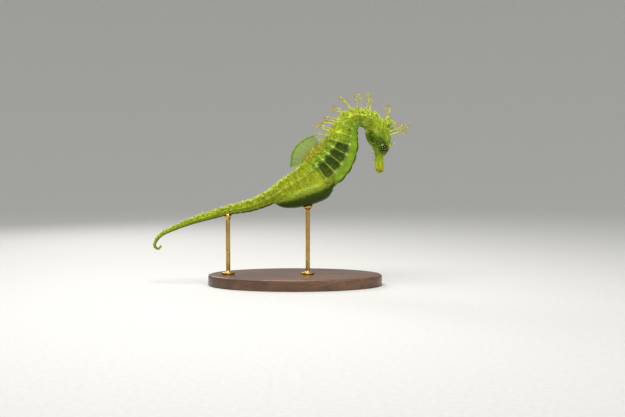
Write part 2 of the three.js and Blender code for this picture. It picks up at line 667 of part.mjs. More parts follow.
// A solid turned about the Z axis, from distances from the axis and heights.
function turned(profile, sides) {
  const lathe = new THREE.LatheGeometry(profile.map(([r, h]) => new THREE.Vector2(r, h)), sides);
  return lathe.rotateX(Math.PI / 2);
}

function standBase() {
  const { length, width, thick, chamfer, footing, sides } = STAND;
  const radius = length / 2;
  const profile = [
    [0, 0], [radius - footing, 0], [radius, footing],
    [radius, thick - chamfer], [radius - chamfer, thick], [0, thick],
  ];
  return solid(turned(profile, sides).scale(1, width / length, 1));
}

// A rod with a round foot below and a cup above. The cup is shaped to the animal by what rests in it.
function rod({ x, top, cupRadius, cupHeight }, held) {
  const { thick, rodRadius, footRadius, footThick } = STAND;
  const foot = thick + footThick;
  const profile = [
    [0, thick], [footRadius, thick], [footRadius, foot - 0.4], [footRadius - 0.5, foot],
    [rodRadius, foot + 0.9], [rodRadius, top - cupHeight],
    [cupRadius, top - cupHeight + 1.6], [cupRadius, top], [0, top],
  ];
  return solid(turned(profile, 12).translate(x, 0, 0)).subtract(held);
}

// ---------------------------------------------------------------- assembly

const seahorse = new THREE.Group();

function add(name, manifold, look) {
  const mesh = new THREE.Mesh(geometryOf(manifold), look);
  mesh.name = name;
  seahorse.add(mesh);
}

const vent = KNOTS[VENT];
const shoulder = trunkEdge(4);
const cleithrum = KNOTS[CLEITHRUM];
const tail = bodyLength(tailEdge(20), vent, PER_PLATE.tail, PARTING);
const armour = bodyLength(tailEdge(9), cleithrum, PER_PLATE.trunk, PARTING);
const sheath = smoothLength(tailEdge(9), cleithrum, PARTING);

// The tail's lengths, by the rings behind the vent where each starts and ends.
const TAIL_LENGTHS = [
  ['tail_base', 0, 7], ['tail_second', 7, 13], ['tail_third', 13, 20],
  ['tail_fourth', 20, 28], ['tail_tip', 28, 38],
];
for (const [name, first, last] of TAIL_LENGTHS) {
  const perPlate = first === 0 ? PER_PLATE.trunk : PER_PLATE.tail;
  add(name, bodyLength(tailEdge(last), tailEdge(first), perPlate), HIDE);
}

const neck = aheadOf(bodyLength(shoulder, cleithrum, PER_PLATE.trunk), shoulder);
const skull = bodyLength(trunkEdge(2), KNOTS[SNOUT_ROOT], PER_PLATE.head, PARTING);
add('trunk', join(bodyLength(vent, shoulder, PER_PLATE.trunk), ...mane(4, 11)), HIDE);
add('neck', join(neck, ...mane(0, 4)), HIDE);
add('head', head(), HIDE);
add('snout', snout(), HIDE);
add('coronet', coronet().subtract(skull), CROWN_HIDE);
add('brood_pouch', pouch().subtract(sheath), POUCH_HIDE);
add('dorsal_fin', dorsalFin().subtract(armour), FIN_MEMBRANE);
add('anal_fin', analFin().subtract(armour).subtract(pouch()), FIN_MEMBRANE);
for (const [side, name] of [[-1, 'right'], [1, 'left']]) {
  add(`eye_${name}`, eyeSolid(side, EYE.radius), EYEBALL);
  add(`pectoral_fin_${name}`, pectoralFin(side).subtract(armour), FIN_MEMBRANE);
}

add('stand_base', standBase(), WOOD);
add('stand_rod_front', rod(RODS.front, join(pouch().translate([0, 0, -PARTING]), tail)), BRASS);
add('stand_rod_rear', rod(RODS.rear, tail), BRASS);

export default seahorse;
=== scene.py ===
# %% [markdown]
# # A long-snouted seahorse on its stand
#
# A seahorse wears its skeleton on the outside. Bony plates lie just under a thin, moist skin and
# meet in rings, from the neck to the tip of the tail. Where a ring crosses one of the ridges that
# run along the body, the bone rises into a blunt tubercle. This one is a male, so it has a brood
# pouch under the start of its tail, and it belongs to a species with a mane of skin filaments.
#
# Everything here is worked out in millimetres along one curved midline, then written in metres.

import math

import bpy
import numpy as np
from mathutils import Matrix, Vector, kdtree, noise
from mathutils.bvhtree import BVHTree


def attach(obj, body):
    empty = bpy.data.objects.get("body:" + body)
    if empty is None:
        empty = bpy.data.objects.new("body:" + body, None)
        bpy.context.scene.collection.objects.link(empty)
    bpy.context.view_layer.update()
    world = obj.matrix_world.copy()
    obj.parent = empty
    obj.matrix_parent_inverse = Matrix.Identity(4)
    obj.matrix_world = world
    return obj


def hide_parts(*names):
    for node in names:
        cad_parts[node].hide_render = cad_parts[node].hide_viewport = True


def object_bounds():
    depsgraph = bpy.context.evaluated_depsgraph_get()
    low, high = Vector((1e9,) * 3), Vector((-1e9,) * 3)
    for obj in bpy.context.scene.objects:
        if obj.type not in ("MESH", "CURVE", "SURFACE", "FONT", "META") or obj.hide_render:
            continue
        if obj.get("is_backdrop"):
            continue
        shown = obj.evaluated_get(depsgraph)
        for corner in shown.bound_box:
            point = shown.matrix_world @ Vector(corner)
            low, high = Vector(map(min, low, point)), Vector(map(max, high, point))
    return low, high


MM = 0.001

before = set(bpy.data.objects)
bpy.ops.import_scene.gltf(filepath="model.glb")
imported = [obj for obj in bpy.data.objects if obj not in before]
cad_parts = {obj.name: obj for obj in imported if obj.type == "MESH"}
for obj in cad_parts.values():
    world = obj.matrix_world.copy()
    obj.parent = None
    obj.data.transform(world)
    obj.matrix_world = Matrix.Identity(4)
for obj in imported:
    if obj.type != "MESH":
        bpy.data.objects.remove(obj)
cad_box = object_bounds()
print("solids span", [round(float(v) / MM, 1) for corner in cad_box for v in corner], "mm")


# %% [markdown]
# ## The camera, the floor and the light
#
# The animal is seen square on from its right, from a little above the middle of its body. The lens
# is worked out from its focal length in pixels, so the framing doesn't hang on the sensor's size. The
# floor is a round sheet of pale paper that curves up into a wall all the way round, as a studio's
# paper sweep does. One big plane would be simpler, but its far edge would show as a horizon. A big
# soft lamp overhead leaves the belly and the pouch in shade, as daylight does, and two weak lamps
# fill the near side and pick out the back.

# %% Camera
IMAGE_WIDTH = 625
FOCAL_PIXELS = 755
CAMERA_AT = (9.6, -415.0, 64.0)
CAMERA_TILT_DOWN = 3.0


def put_in_scene(name, data):
    """An object of that name that holds the data, linked into the scene."""
    held = bpy.data.objects.new(name, data)
    bpy.context.scene.collection.objects.link(held)
    return held


camera = put_in_scene("camera", bpy.data.cameras.new("camera"))
camera.data.sensor_width = 36.0
camera.data.lens = camera.data.sensor_width * FOCAL_PIXELS / IMAGE_WIDTH
camera.data.clip_start = 0.01
camera.location = Vector(CAMERA_AT) * MM
camera.rotation_euler = (math.radians(90 - CAMERA_TILT_DOWN), 0, 0)
bpy.context.scene.camera = camera
print(f"lens {camera.data.lens:.1f} mm")


# %% Lamps
LAMPS_FACE = (0, 0, 60)
# Where each lamp hangs and its size, in millimetres, and its power in watts.
LAMPS = {
    "overhead": ((-40, -110, 380), 220, 1.5),
    "fill": ((440, -570, 280), 420, 0.95),
    "rim": ((-220, 300, 300), 180, 0.7),
}


def lamp(name, at, size, watts):
    """A square soft lamp that faces the middle of the animal."""
    light = bpy.data.lights.new(name, "AREA")
    light.size = size * MM
    light.energy = watts
    held = put_in_scene(name, light)
    held.location = Vector(at) * MM
    held.rotation_euler = (Vector(LAMPS_FACE) - Vector(at)).to_track_quat("-Z", "Y").to_euler()


for name, (at, size, watts) in LAMPS.items():
    lamp(name, at, size, watts)

world = bpy.data.worlds.new("studio")
world.use_nodes = True
background = world.node_tree.nodes["Background"].inputs
background["Color"].default_value = (0.86, 0.88, 0.90, 1)
background["Strength"].default_value = 0.72
bpy.context.scene.world = world
bpy.context.scene.view_settings.view_transform = "Standard"
print(f"{len(LAMPS)} lamps of {sum(watts for _, _, watts in LAMPS.values()):.2f} W")


# %% [markdown]
# ## How a finish is described
#
# Each finish is a small tree of shader nodes. It could be wired up by hand in the shader editor, but
# in a script it can be read line by line and made again. Colours are written as the hex values a
# painter would note down, and one function turns them to linear light. One small function adds any
# node, with its settings by name and its inputs as values or as the sockets that feed them. A finish
# is then laid on as a painter lays it on: coat over coat, each through a mask.

# %% Colour and node helpers
def linear(hex_colour):
    """An sRGB hex colour such as "c4d63c" as linear red, green, blue and alpha."""
    channels = [int(hex_colour[i : i + 2], 16) / 255 for i in (0, 2, 4)]
    return [c / 12.92 if c <= 0.04045 else ((c + 0.055) / 1.055) ** 2.4 for c in channels] + [1.0]


def feed(tree, node, inputs):
    """Sets a node's inputs. A value is a number, a colour or the socket that feeds the input."""
    for name, value in inputs.items():
        if isinstance(value, bpy.types.NodeSocket):
            tree.links.new(value, node.inputs[name])
        else:
            node.inputs[name].default_value = value


def add_node(tree, kind, inputs, output=0, **settings):
    """Adds a node with its settings and inputs, and gives back one of its outputs."""
    made = tree.nodes.new("ShaderNode" + kind)
    for name, value in settings.items():
        setattr(made, name, value)
    feed(tree, made, inputs)
    return made.outputs[output]


def new_finish(name):
    """An empty material, its node tree and its surface shader."""
    finish = bpy.data.materials.new(name)
    finish.use_nodes = True
    return finish, finish.node_tree, finish.node_tree.nodes["Principled BSDF"]


def speckle(tree, size, low, high):
    """Soft noise with features of that size in millimetres, stretched from low..high to 0..1."""
    place = add_node(tree, "TexCoord", {}, "Object")
    grain = add_node(tree, "TexNoise", {"Vector": place, "Scale": 1 / (size * MM), "Detail": 3.0})
    return add_node(tree, "MapRange", {"Value": grain, "From Min": low, "From Max": high})


def layered(tree, colour, *coats):
    """Lays coats over a colour. A coat is a colour, its mask and a strength up to 1."""
    for above, mask, strength in coats:
        if strength < 1:
            thinned = {0: mask, 1: strength}
            mask = add_node(tree, "Math", thinned, operation="MULTIPLY", use_clamp=True)
        below, above = (linear(c) if isinstance(c, str) else c for c in (colour, above))
        colour = add_node(tree, "Mix", {0: mask, 6: below, 7: above}, 2, data_type="RGBA")
    return colour


print("white as linear light:", linear("ffffff"))


# %% Floor
# Uncoated studio paper: fibres a few hundredths of a millimetre thick clump into a soft mottle that
# shows at about 2 mm, and they scatter light so evenly that nothing is mirrored in it.
paper, tree, shader = new_finish("matt paper sweep")
fibre = speckle(tree, 2.0, 0.3, 0.7)
paper_colour = layered(tree, "cbc9c4", ("d1cfca", fibre, 1))
feed(tree, shader, {"Base Color": paper_colour, "Roughness": 0.9})


def full_turn(count):
    """Angles evenly spaced round a full turn."""
    return np.linspace(0, 2 * math.pi, count, endpoint=False)


SWEEP = {"flat": 800, "rise": 900, "steps": 24, "sides": 96}


def paper_sweep():
    """A round floor that curves up into a wall all the way round, well clear of the stand."""
    steps, sides = SWEEP["steps"], SWEEP["sides"]
    turn = np.linspace(0, math.pi / 2, steps)
    radii = np.concatenate([[SWEEP["flat"] / 2], SWEEP["flat"] + SWEEP["rise"] * np.sin(turn)])
    heights = np.concatenate([[0], SWEEP["rise"] * (1 - np.cos(turn))])
    around = full_turn(sides)
    points = [(r * math.cos(a), r * math.sin(a), z) for r, z in zip(radii, heights) for a in around]
    faces = [tuple(range(sides))]
    for row in range(0, len(points) - sides, sides):
        for i in range(sides):
            after = (i + 1) % sides
            faces.append((row + i, row + sides + i, row + sides + after, row + after))
    mesh = bpy.data.meshes.new("floor")
    mesh.from_pydata([tuple(c * MM for c in p) for p in points], [], faces)
    mesh.materials.append(paper)
    mesh.shade_smooth()
    put_in_scene("floor", mesh)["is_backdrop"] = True
    print(f"floor: {len(points)} points, {2 * radii[-1] / 1000:.1f} m across")


paper_sweep()


# %% [markdown]
# ## The midline
#
# The whole body hangs on one curve, from the tail's tip to the mouth. At each station the body has a
# half depth, a half width and a build: 0 for the square tail, 1 for the seven-ridged trunk, 2 for the
# head and 3 for the snout. A smooth curve through the stations gives every place between them. A
# Blender curve with a bevel would make only a round tube, so the sweep is worked out point by point.

# %% Stations along the midline
#             x,     z,    y,   deep, wide, build
STATIONS = [
    (-74.6, 21.5, 3.2, 0.45, 0.4, 0),
    (-76.2, 19.5, 3.4, 0.55, 0.5, 0),
    (-78.2, 21.2, 3.4, 0.7, 0.65, 0),
    (-77.4, 24.0, 3.1, 0.85, 0.8, 0),
    (-74.5, 27.3, 2.6, 1.0, 0.95, 0),
    (-68.2, 30.6, 1.9, 1.25, 1.2, 0),
    (-57.8, 34.7, 1.0, 1.6, 1.5, 0),
    (-46.8, 38.0, 0.4, 1.95, 1.8, 0),
    (-35.8, 41.1, 0.1, 2.35, 2.15, 0),
    (-24.8, 43.3, 0, 3.0, 2.7, 0),
    (-13.2, 48.1, 0, 3.9, 3.3, 0),
    (-2.5, 54.8, 0, 5.2, 4.1, 0.1),
    (5.0, 58.0, 0, 7.4, 4.8, 0.5),
    (11.8, 60.8, 0, 10.2, 5.3, 1),
    (20.2, 68.2, 0, 11.4, 5.8, 1),
    (25.4, 77.0, 0, 9.6, 5.5, 1),
    (27.3, 83.9, 0, 7.6, 4.9, 1),
    (29.5, 88.7, 0, 6.0, 4.5, 1),
    (33.5, 91.6, 0, 4.85, 4.2, 1),
    (38.4, 91.1, 0, 4.6, 4.0, 1),
    (42.4, 88.6, 0, 5.3, 4.1, 1.5),
    (44.8, 84.5, 0, 6.7, 4.3, 2),
    (46.6, 79.9, 0, 6.6, 4.1, 2),
    (47.0, 75.1, 0, 4.15, 3.1, 2),
    (46.3, 71.1, 0, 2.5, 2.1, 3),
    (46.4, 66.8, 0, 2.35, 1.8, 3),
    (46.7, 63.8, 0, 2.3, 1.95, 3),
    (47.2, 61.9, 0, 1.3, 1.2, 3),
]
VENT, CLEITHRUM, SNOUT_ROOT = 13, 20, 24
print(f"{len(STATIONS)} stations")


# %% A smooth curve through the stations
def smooth_track(knots, values):
    """A smooth curve through values at knots, as a function of distance."""
    gaps = np.diff(knots)
    rise = np.diff(values) / gaps
    inner = (rise[1:] * gaps[:-1] + rise[:-1] * gaps[1:]) / (gaps[:-1] + gaps[1:])
    slopes = np.concatenate([rise[:1], inner, rise[-1:]])

    def value_at(s):
        i = np.clip(np.searchsorted(knots, s, side="right") - 1, 0, len(gaps) - 1)
        u = np.clip((s - knots[i]) / gaps[i], 0, 1)
        flow = values[i] + (values[i + 1] - values[i]) * u * u * (3 - 2 * u)
        return flow + gaps[i] * (u * (1 - u) ** 2 * slopes[i] - u * u * (1 - u) * slopes[i + 1])

    return value_at


def distances(stations):
    """How far each station lies along its chain, seen from the side."""
    steps = np.diff(np.array([station[:2] for station in stations]), axis=0)
    return np.concatenate([[0], np.cumsum(np.hypot(*steps.T))])


KNOTS = distances(STATIONS)
MIDLINE = {
    name: smooth_track(KNOTS, np.array(column, float))
    for name, column in zip(("x", "z", "y", "deep", "wide", "build"), zip(*STATIONS))
}
BODY_LENGTH = KNOTS[-1]
print(f"midline {BODY_LENGTH:.0f} mm, tail {KNOTS[VENT]:.0f} mm")


def midline(s):
    """Points on the midline, its direction towards the mouth and the direction of the back."""
    point = np.stack([MIDLINE["x"](s), MIDLINE["y"](s), MIDLINE["z"](s)], -1)
    dx = MIDLINE["x"](s + 0.05) - MIDLINE["x"](s - 0.05)
    dz = MIDLINE["z"](s + 0.05) - MIDLINE["z"](s - 0.05)
    forward = np.stack([dx, np.zeros_like(dx), dz], -1) / np.hypot(dx, dz)[..., None]
    back = np.stack([-forward[..., 2], np.zeros_like(dx), forward[..., 0]], -1)
    return point, forward, back


# %% [markdown]
# ## Rings and tubercles
#
# Thirty-eight rings armour the tail and eleven the trunk, each a little longer than the one behind
# it. A ring stands highest along its middle, as a thin rib, and sinks to the joint with the next.
# Every third ring carries larger tubercles.

# %% Ring edges
TAIL_RINGS, TRUNK_RINGS = 38, 11
RING_PITCH = {"tail_tip": 1.2, "tail_base": 4.2, "trunk_base": 5.4, "neck": 3.4}
# How far the rings take to fade where the neck meets the skull.
RING_FADE = 0.25


def ring_run(start, end, count, first, last):
    """The far edges of count rings that grow evenly from first to last in length."""
    pitches = np.linspace(first, last, count)
    return start + np.cumsum(pitches) * (end - start) / pitches.sum()


EDGES = np.concatenate([
    [0],
    ring_run(0, KNOTS[VENT], TAIL_RINGS, RING_PITCH["tail_tip"], RING_PITCH["tail_base"]),
    ring_run(KNOTS[VENT], KNOTS[CLEITHRUM], TRUNK_RINGS, RING_PITCH["trunk_base"], RING_PITCH["neck"]),
])


def trunk_edge(rings_back):
    """The place a number of rings back from the cleithrum, which need not be whole."""
    count = len(EDGES) - 1
    return np.interp(count - rings_back, np.arange(count + 1), EDGES)


def ring_place(s):
    """Which ring each place is in, how far through it from 0 to 1, and how much rings show there."""
    ring = np.clip(np.searchsorted(EDGES, s, side="right") - 1, 0, len(EDGES) - 2)
    through = np.clip((s - EDGES[ring]) / (EDGES[ring + 1] - EDGES[ring]), 0, 1)
    armoured = 1 / (1 + np.exp((s - KNOTS[CLEITHRUM]) / RING_FADE))
    return ring, through, armoured


print(f"{len(EDGES) - 1} rings, from {np.diff(EDGES[:-1]).min():.1f} to {np.diff(EDGES).max():.1f} mm long")


# %% Height of the tubercles
TUBERCLE = {"trunk": 1.0, "trunk_large": 1.7, "tail": 0.75, "tail_large": 1.25, "every": 3}


def tubercle_height(ring):
    """How far the tallest tubercles of each ring stand out."""
    large = (TAIL_RINGS + TRUNK_RINGS - ring) % TUBERCLE["every"] == 1
    taper = 0.25 + 0.75 * ring / TAIL_RINGS
    on_tail = taper * np.where(large, TUBERCLE["tail_large"], TUBERCLE["tail"])
    on_trunk = np.where(large, TUBERCLE["trunk_large"], TUBERCLE["trunk"])
    return np.where(ring < TAIL_RINGS, on_tail, on_trunk)


print(f"tallest tubercle {tubercle_height(np.arange(len(EDGES) - 1)).max():.1f} mm")


# %% [markdown]
# ## The body's skin
#
# The cross-section has seven ridges: a superior, a lateral and an inferior one on each side, and the
# keel. Plates span them, a little sunken on the trunk and rounded out on the head. Sweeping that
# section along the midline, with the relief of ribs, joints and tubercles already in it, gives the
# armour. It could be sculpted by hand, but forty-nine like rings are better grown from one rule.

# %% Cross-sections
#             superior,      lateral,      inferior,        keel,        crown
SECTIONS = np.array([
    (0.80, 0.90, 1.0, 0.00, 0.78, -0.90, 0, -0.94, -0.02),
    (0.60, 0.94, 1.0, 0.30, 0.74, -0.48, 0, -1.00, -0.025),
    (0.56, 0.84, 1.0, 0.16, 0.72, -0.62, 0, -1.00, 0.09),
    (0.62, 0.78, 1.0, 0.00, 0.66, -0.76, 0, -1.00, 0.13),
])
TUBERCLE_SHARES = {"superior": 1, "lateral": 0.8, "inferior": 0.4, "keel": 0.08}
POUCH_RINGS = 9
RIB = {"rise": 0.062, "width": 0.1, "joint_sink": 0.05}
CORD = {"rise": 0.035, "width": 0.09}
CONE = {"spread": 0.5, "sharpness": 1.5}


def bell(distance, width):
    """1 at no distance, fading to 0 over about that width either way."""
    return np.exp(-((distance / width) ** 2))


def unit(vectors):
    """The vectors at a length of one."""
    return vectors / np.linalg.norm(vectors, axis=-1, keepdims=True)


def section_at(build):
    """The seven ridges as shares of wide and deep, and the crown of the plates, for each build."""
    build = np.clip(build, 0, 3)
    mix = np.stack([np.interp(build, range(4), SECTIONS[:, i]) for i in range(9)], -1)
    side = mix[..., :6].reshape(*build.shape, 3, 2)
    right = side * [-1, 1]
    keel = mix[..., None, 6:8]
    return np.concatenate([right, keel, side[..., ::-1, :]], -2), mix[..., 8]


def swept_body(s, per_plate):
    """Points of the armour, one row for each s, with per_plate points on each of the seven plates."""
    point, _, back = midline(s)
    ridges, crown = section_at(MIDLINE["build"](s))
    c = np.arange(7 * per_plate) / per_plate
    k, f = c.astype(int), c % 1
    here, following = ridges[:, k], ridges[:, (k + 1) % 7]
    out = here + (following - here) * f[None, :, None]
    out = out * (1 + 4 * f * (1 - f) * crown[:, None])[..., None]
    ring, through, armoured = ring_place(s)
    sink = (1 - np.sin(math.pi * through)) * RIB["joint_sink"] * armoured
    out = out * (1 - sink)[:, None, None]
    flesh = out * np.stack([MIDLINE["wide"](s), MIDLINE["deep"](s)], -1)[:, None]
    pitch = (EDGES[ring + 1] - EDGES[ring])[:, None]
    ahead = (through - 0.5)[:, None] * pitch
    apart = np.hypot(*np.moveaxis(flesh - np.roll(flesh, 1, axis=1), -1, 0))
    aside = np.abs(c - np.round(c)) * apart * per_plate
    low = np.where((k == 2) | (k == 3), 0.35, 1.0)
    rib = RIB["rise"] * pitch * bell(ahead, RIB["width"] * pitch) * low
    cord = CORD["rise"] * pitch * bell(aside, CORD["width"] * pitch)
    rise = np.maximum(rib, cord) + tubercles(c, ring, ahead, aside)
    flesh = flesh + unit(flesh) * (rise * armoured[:, None])[..., None]
    return point[:, None] + flesh[..., 1:] * back[:, None] + flesh[..., :1] * np.array([0, 1.0, 0])


def tubercles(c, ring, ahead, aside):
    """The outward rise of the blunt cones where ribs cross ridges."""
    names = ("superior", "lateral", "inferior", "keel", "inferior", "lateral", "superior")
    share = np.array([TUBERCLE_SHARES[name] for name in names])
    ridge = np.round(c).astype(int) % 7
    covered = (ring < TAIL_RINGS + 2) & (ring >= TAIL_RINGS - POUCH_RINGS)
    low = np.isin(ridge, (2, 3, 4))
    share = np.where(covered[:, None] & low, 0, share[ridge])
    height = tubercle_height(ring)[:, None] * share
    spread = CONE["spread"] * (0.35 + 0.65 * height)
    return height * np.exp(-((np.hypot(aside, ahead) / spread) ** CONE["sharpness"]))


print("ridges of the trunk, share across and up:", section_at(np.array(1.0))[0].round(2).tolist())


# %% Closed solids from rows of points
def facing_out(points, *kinds_of_face):
    """Lists of faces of a closed form, turned over if they face inwards."""
    volume = 0
    for faces in kinds_of_face:
        a, *others = (points[faces[:, i]] for i in range(faces.shape[1]))
        for b, c in zip(others[:-1], others[1:]):
            volume += np.einsum("ij,ij->", a, np.cross(b, c))
    turned_over = 1 if volume > 0 else -1
    return [face for faces in kinds_of_face for face in faces[:, ::turned_over].tolist()]


def closed_grid(rows):
    """Points and faces of a closed form over rows of points that all have the same length."""
    count, sides = rows.shape[:2]
    points = np.concatenate([rows.reshape(-1, 3), rows[:1].mean(1), rows[-1:].mean(1)])
    i, j = np.meshgrid(np.arange(count - 1), np.arange(sides), indexing="ij")
    near, beside = i * sides + j, i * sides + (j + 1) % sides
    walls = np.stack([near, beside, beside + sides, near + sides], -1).reshape(-1, 4)
    a = np.arange(sides)
    b = (a + 1) % sides
    last = (count - 1) * sides
    start, end = np.full(sides, len(points) - 2), np.full(sides, len(points) - 1)
    caps = np.concatenate([np.stack([start, b, a], -1), np.stack([end, last + a, last + b], -1)])
    return points, facing_out(points, walls, caps)


def gather(solids):
    """Several sets of points and faces as one."""
    points, faces, count = [], [], 0
    for more_points, more_faces in solids:
        points.append(more_points)
        faces += [tuple(v + count for v in face) for face in more_faces]
        count += len(more_points)
    return np.concatenate(points), faces


BODY_STEP, POINTS_PER_PLATE = 0.16, 26
body_rows = np.linspace(0, BODY_LENGTH, int(BODY_LENGTH / BODY_STEP))
armour = closed_grid(swept_body(body_rows, POINTS_PER_PLATE))
print(f"armour: {len(armour[0])} points")


# %% [markdown]
# ## The brood pouch
#
# The male carries the eggs in a pouch of soft skin under the first rings of his tail. It is a smooth
# bag with no plates. It could be a bulge in the body's own sections, but a bag of its own keeps the
# fold between it and the tail, and a later step melts the two together.

# %% Pouch
#     x,     z,    deep, wide
POUCH = [
    (-11.4, 45.6, 0.5, 0.6),
    (-8.2, 45.6, 2.4, 3.0),
    (-2.5, 46.6, 4.2, 5.0),
    (4.0, 48.4, 5.1, 6.0),
    (11.0, 50.8, 5.5, 6.0),
    (17.0, 53.4, 4.6, 4.9),
    (20.4, 55.4, 1.6, 1.9),
]


def swept_pouch(rows=170, sides=110):
    """The pouch as a closed bag."""
    knots = distances(POUCH)
    x, z, deep, wide = (smooth_track(knots, np.array(column)) for column in zip(*POUCH))
    s = np.linspace(0, knots[-1], rows)
    way = unit(np.stack([x(s + 0.1) - x(s - 0.1), z(s + 0.1) - z(s - 0.1)], -1))
    turn = full_turn(sides)
    rise, aside = np.outer(deep(s), np.cos(turn)), np.outer(wide(s), np.sin(turn))
    grid = [x(s)[:, None] - way[:, 1:] * rise, aside, z(s)[:, None] + way[:, :1] * rise]
    return closed_grid(np.stack(grid, -1))


pouch_bag = swept_pouch()
print(f"pouch: {distances(POUCH)[-1]:.0f} mm long")


# %% [markdown]
# ## The head's bony relief
#
# The eyes turn in raised rings of skin, like turrets. Behind them the gill covers bulge, and short
# spines stand over the eyes, on the cheeks and on the nose. They could be pulled out of the skin with
# a sculpting brush. Small closed forms placed where the skull carries them can be measured instead,
# and are the same on both sides.

# %% Turrets and gill covers
EYE = {"x": 48.6, "z": 75.2, "y": 2.45, "radius": 2.0}
GILL_COVER = {"x": 44.9, "z": 82.5, "y": 3.0, "long": 4.6, "high": 3.9, "out": 1.6, "tilt": -62}
TURRET = [(0, -1.6), (2.75, -1.6), (2.8, 0.0), (2.55, 0.75), (2.2, 1.2)]
TURRET += [(1.92, 1.28), (1.72, 1.05), (1.6, 0.7), (0, 0.55)]


def upright(profile, turns, squash=1.0):
    """Rows of a form turned about an upright axis, from distances and heights, flattened by squash."""
    turn = full_turn(turns)
    r, h = (np.array(column, float)[:, None] for column in zip(*profile))
    return np.stack([r * np.cos(turn), squash * r * np.sin(turn), h * np.ones(turns)], -1)


def turned(profile, centre, side):
    """A form turned on a lathe whose axis points out to one side of the head."""
    points, faces = closed_grid(upright(profile, 48)[..., [0, 2, 1]] * [1, side, 1])
    return points + centre, faces


def gill_cover(side):
    """A flattened dome, longest from the eye back towards the neck."""
    u = np.linspace(0.02, math.pi - 0.02, 40)
    v = full_turn(64)
    long, high, out = (GILL_COVER[key] for key in ("long", "high", "out"))
    dome = np.stack([
        long * np.outer(np.sin(u), np.cos(v)),
        out * np.outer(np.cos(u), np.ones_like(v)),
        high * np.outer(np.sin(u), np.sin(v)),
    ], -1)
    tilt = math.radians(-GILL_COVER["tilt"])
    turn = np.array([[math.cos(tilt), 0, math.sin(tilt)], [0, 1, 0], [-math.sin(tilt), 0, math.cos(tilt)]])
    points, faces = closed_grid(dome @ turn.T)
    return points + [GILL_COVER["x"], side * GILL_COVER["y"], GILL_COVER["z"]], faces


print(f"turret {2 * max(r for r, _ in TURRET):.1f} mm across")


# %% Spines of the head
def heading(angle, sideways):
    """A direction, in degrees above straight ahead, that leans to the left by sideways degrees."""
    a, lean = math.radians(angle), math.radians(sideways)
    return np.array([math.cos(a) * math.cos(lean), math.sin(lean), math.sin(a) * math.cos(lean)])


def curved(start, middle, end, rows):
    """A smooth path through three points."""
    t = np.linspace(0, 1, rows)[:, None]
    return start * (1 - t) * (1 - 2 * t) + middle * 4 * t * (1 - t) + end * t * (2 * t - 1)


def tube(path, radii, sides):
    """A round tube along a path of points, with a radius at each."""
    path, radii = np.asarray(path, float), np.asarray(radii, float)
    way = unit(np.gradient(path, axis=0))
    guide = np.array([0.31, 0.83, 0.47])
    first = unit(np.cross(way, guide))
    second = np.cross(way, first)
    turn = full_turn(sides)
    ring = first[:, None] * np.cos(turn)[None, :, None] + second[:, None] * np.sin(turn)[None, :, None]
    return closed_grid(path[:, None] + ring * radii[:, None, None])


#     x,    y,    z, angle, lean, length
SPINES = [
    (50.6, 2.6, 77.0, 30, 30, 2.6),
    (42.6, 3.0, 77.8, 205, 30, 1.7),
    (48.9, 0.8, 71.9, 20, 12, 1.4),
]
SPINE_RADII = (0.95, 0.72, 0.2)


def spine(x, y, z, angle, lean, length):
    """A blunt conical spine rooted in the skull."""
    way = heading(angle, lean)
    reach = np.linspace(-1, length, 10)
    path = np.array([x, y, z]) + np.outer(reach, way)
    return tube(path, np.interp(reach, (-1, 0, length), SPINE_RADII), 16)


def head_relief(side):
    """What stands out of the skull on one side."""
    centre = [EYE["x"], side * EYE["y"], EYE["z"]]
    spines = [spine(x, side * y, z, angle, side * lean, long) for x, y, z, angle, lean, long in SPINES]
    return [turned(TURRET, centre, side), gill_cover(side), *spines]


skull_parts = head_relief(-1) + head_relief(1)
print(f"head relief: {len(skull_parts)} forms")


# %% [markdown]
# ## The coronet
#
# Every seahorse wears a coronet, a bony crown on the top of its head that is as personal as a
# fingerprint. Here it is a stout column that flares into five blunt points with smaller spurs
# between them. Its outline is a star whose depth grows with height, so it is lofted, not turned.

# %% Coronet
CORONET = {"x": 49.7, "z": 87.8, "rise": 44, "height": 4.6, "radius": 2.0, "points": 5}
#                share up, share out, depth of the star
CORONET_ROWS = [(-0.47, 0.9, 0), (0.13, 0.86, 0.05), (0.39, 0.8, 0.1), (0.6, 0.94, 0.15)]
CORONET_ROWS += [(0.74, 1.02, 0.2), (0.82, 0.9, 0.22), (0.78, 0.68, 0.2), (0.66, 0.36, 0.1)]
# Share out and share up at root, bend and tip, then the radius at root and tip.
POINT = [(0.6, 0.35), (1.07, 0.76), (1.2, 1.0)], (0.62, 0.2)
SPUR = [(0.55, 0.3), (0.95, 0.7), (0.98, 0.88)], (0.4, 0.14)


def placed_on_head(points):
    """Points about an upright axis, leaned over and set where the coronet stands."""
    turn = math.radians(90 - CORONET["rise"])
    x, y, z = np.moveaxis(np.asarray(points, float), -1, 0)
    leaned = [x * math.cos(turn) + z * math.sin(turn), y, z * math.cos(turn) - x * math.sin(turn)]
    return np.stack(leaned, -1) + [CORONET["x"], 0, CORONET["z"]]


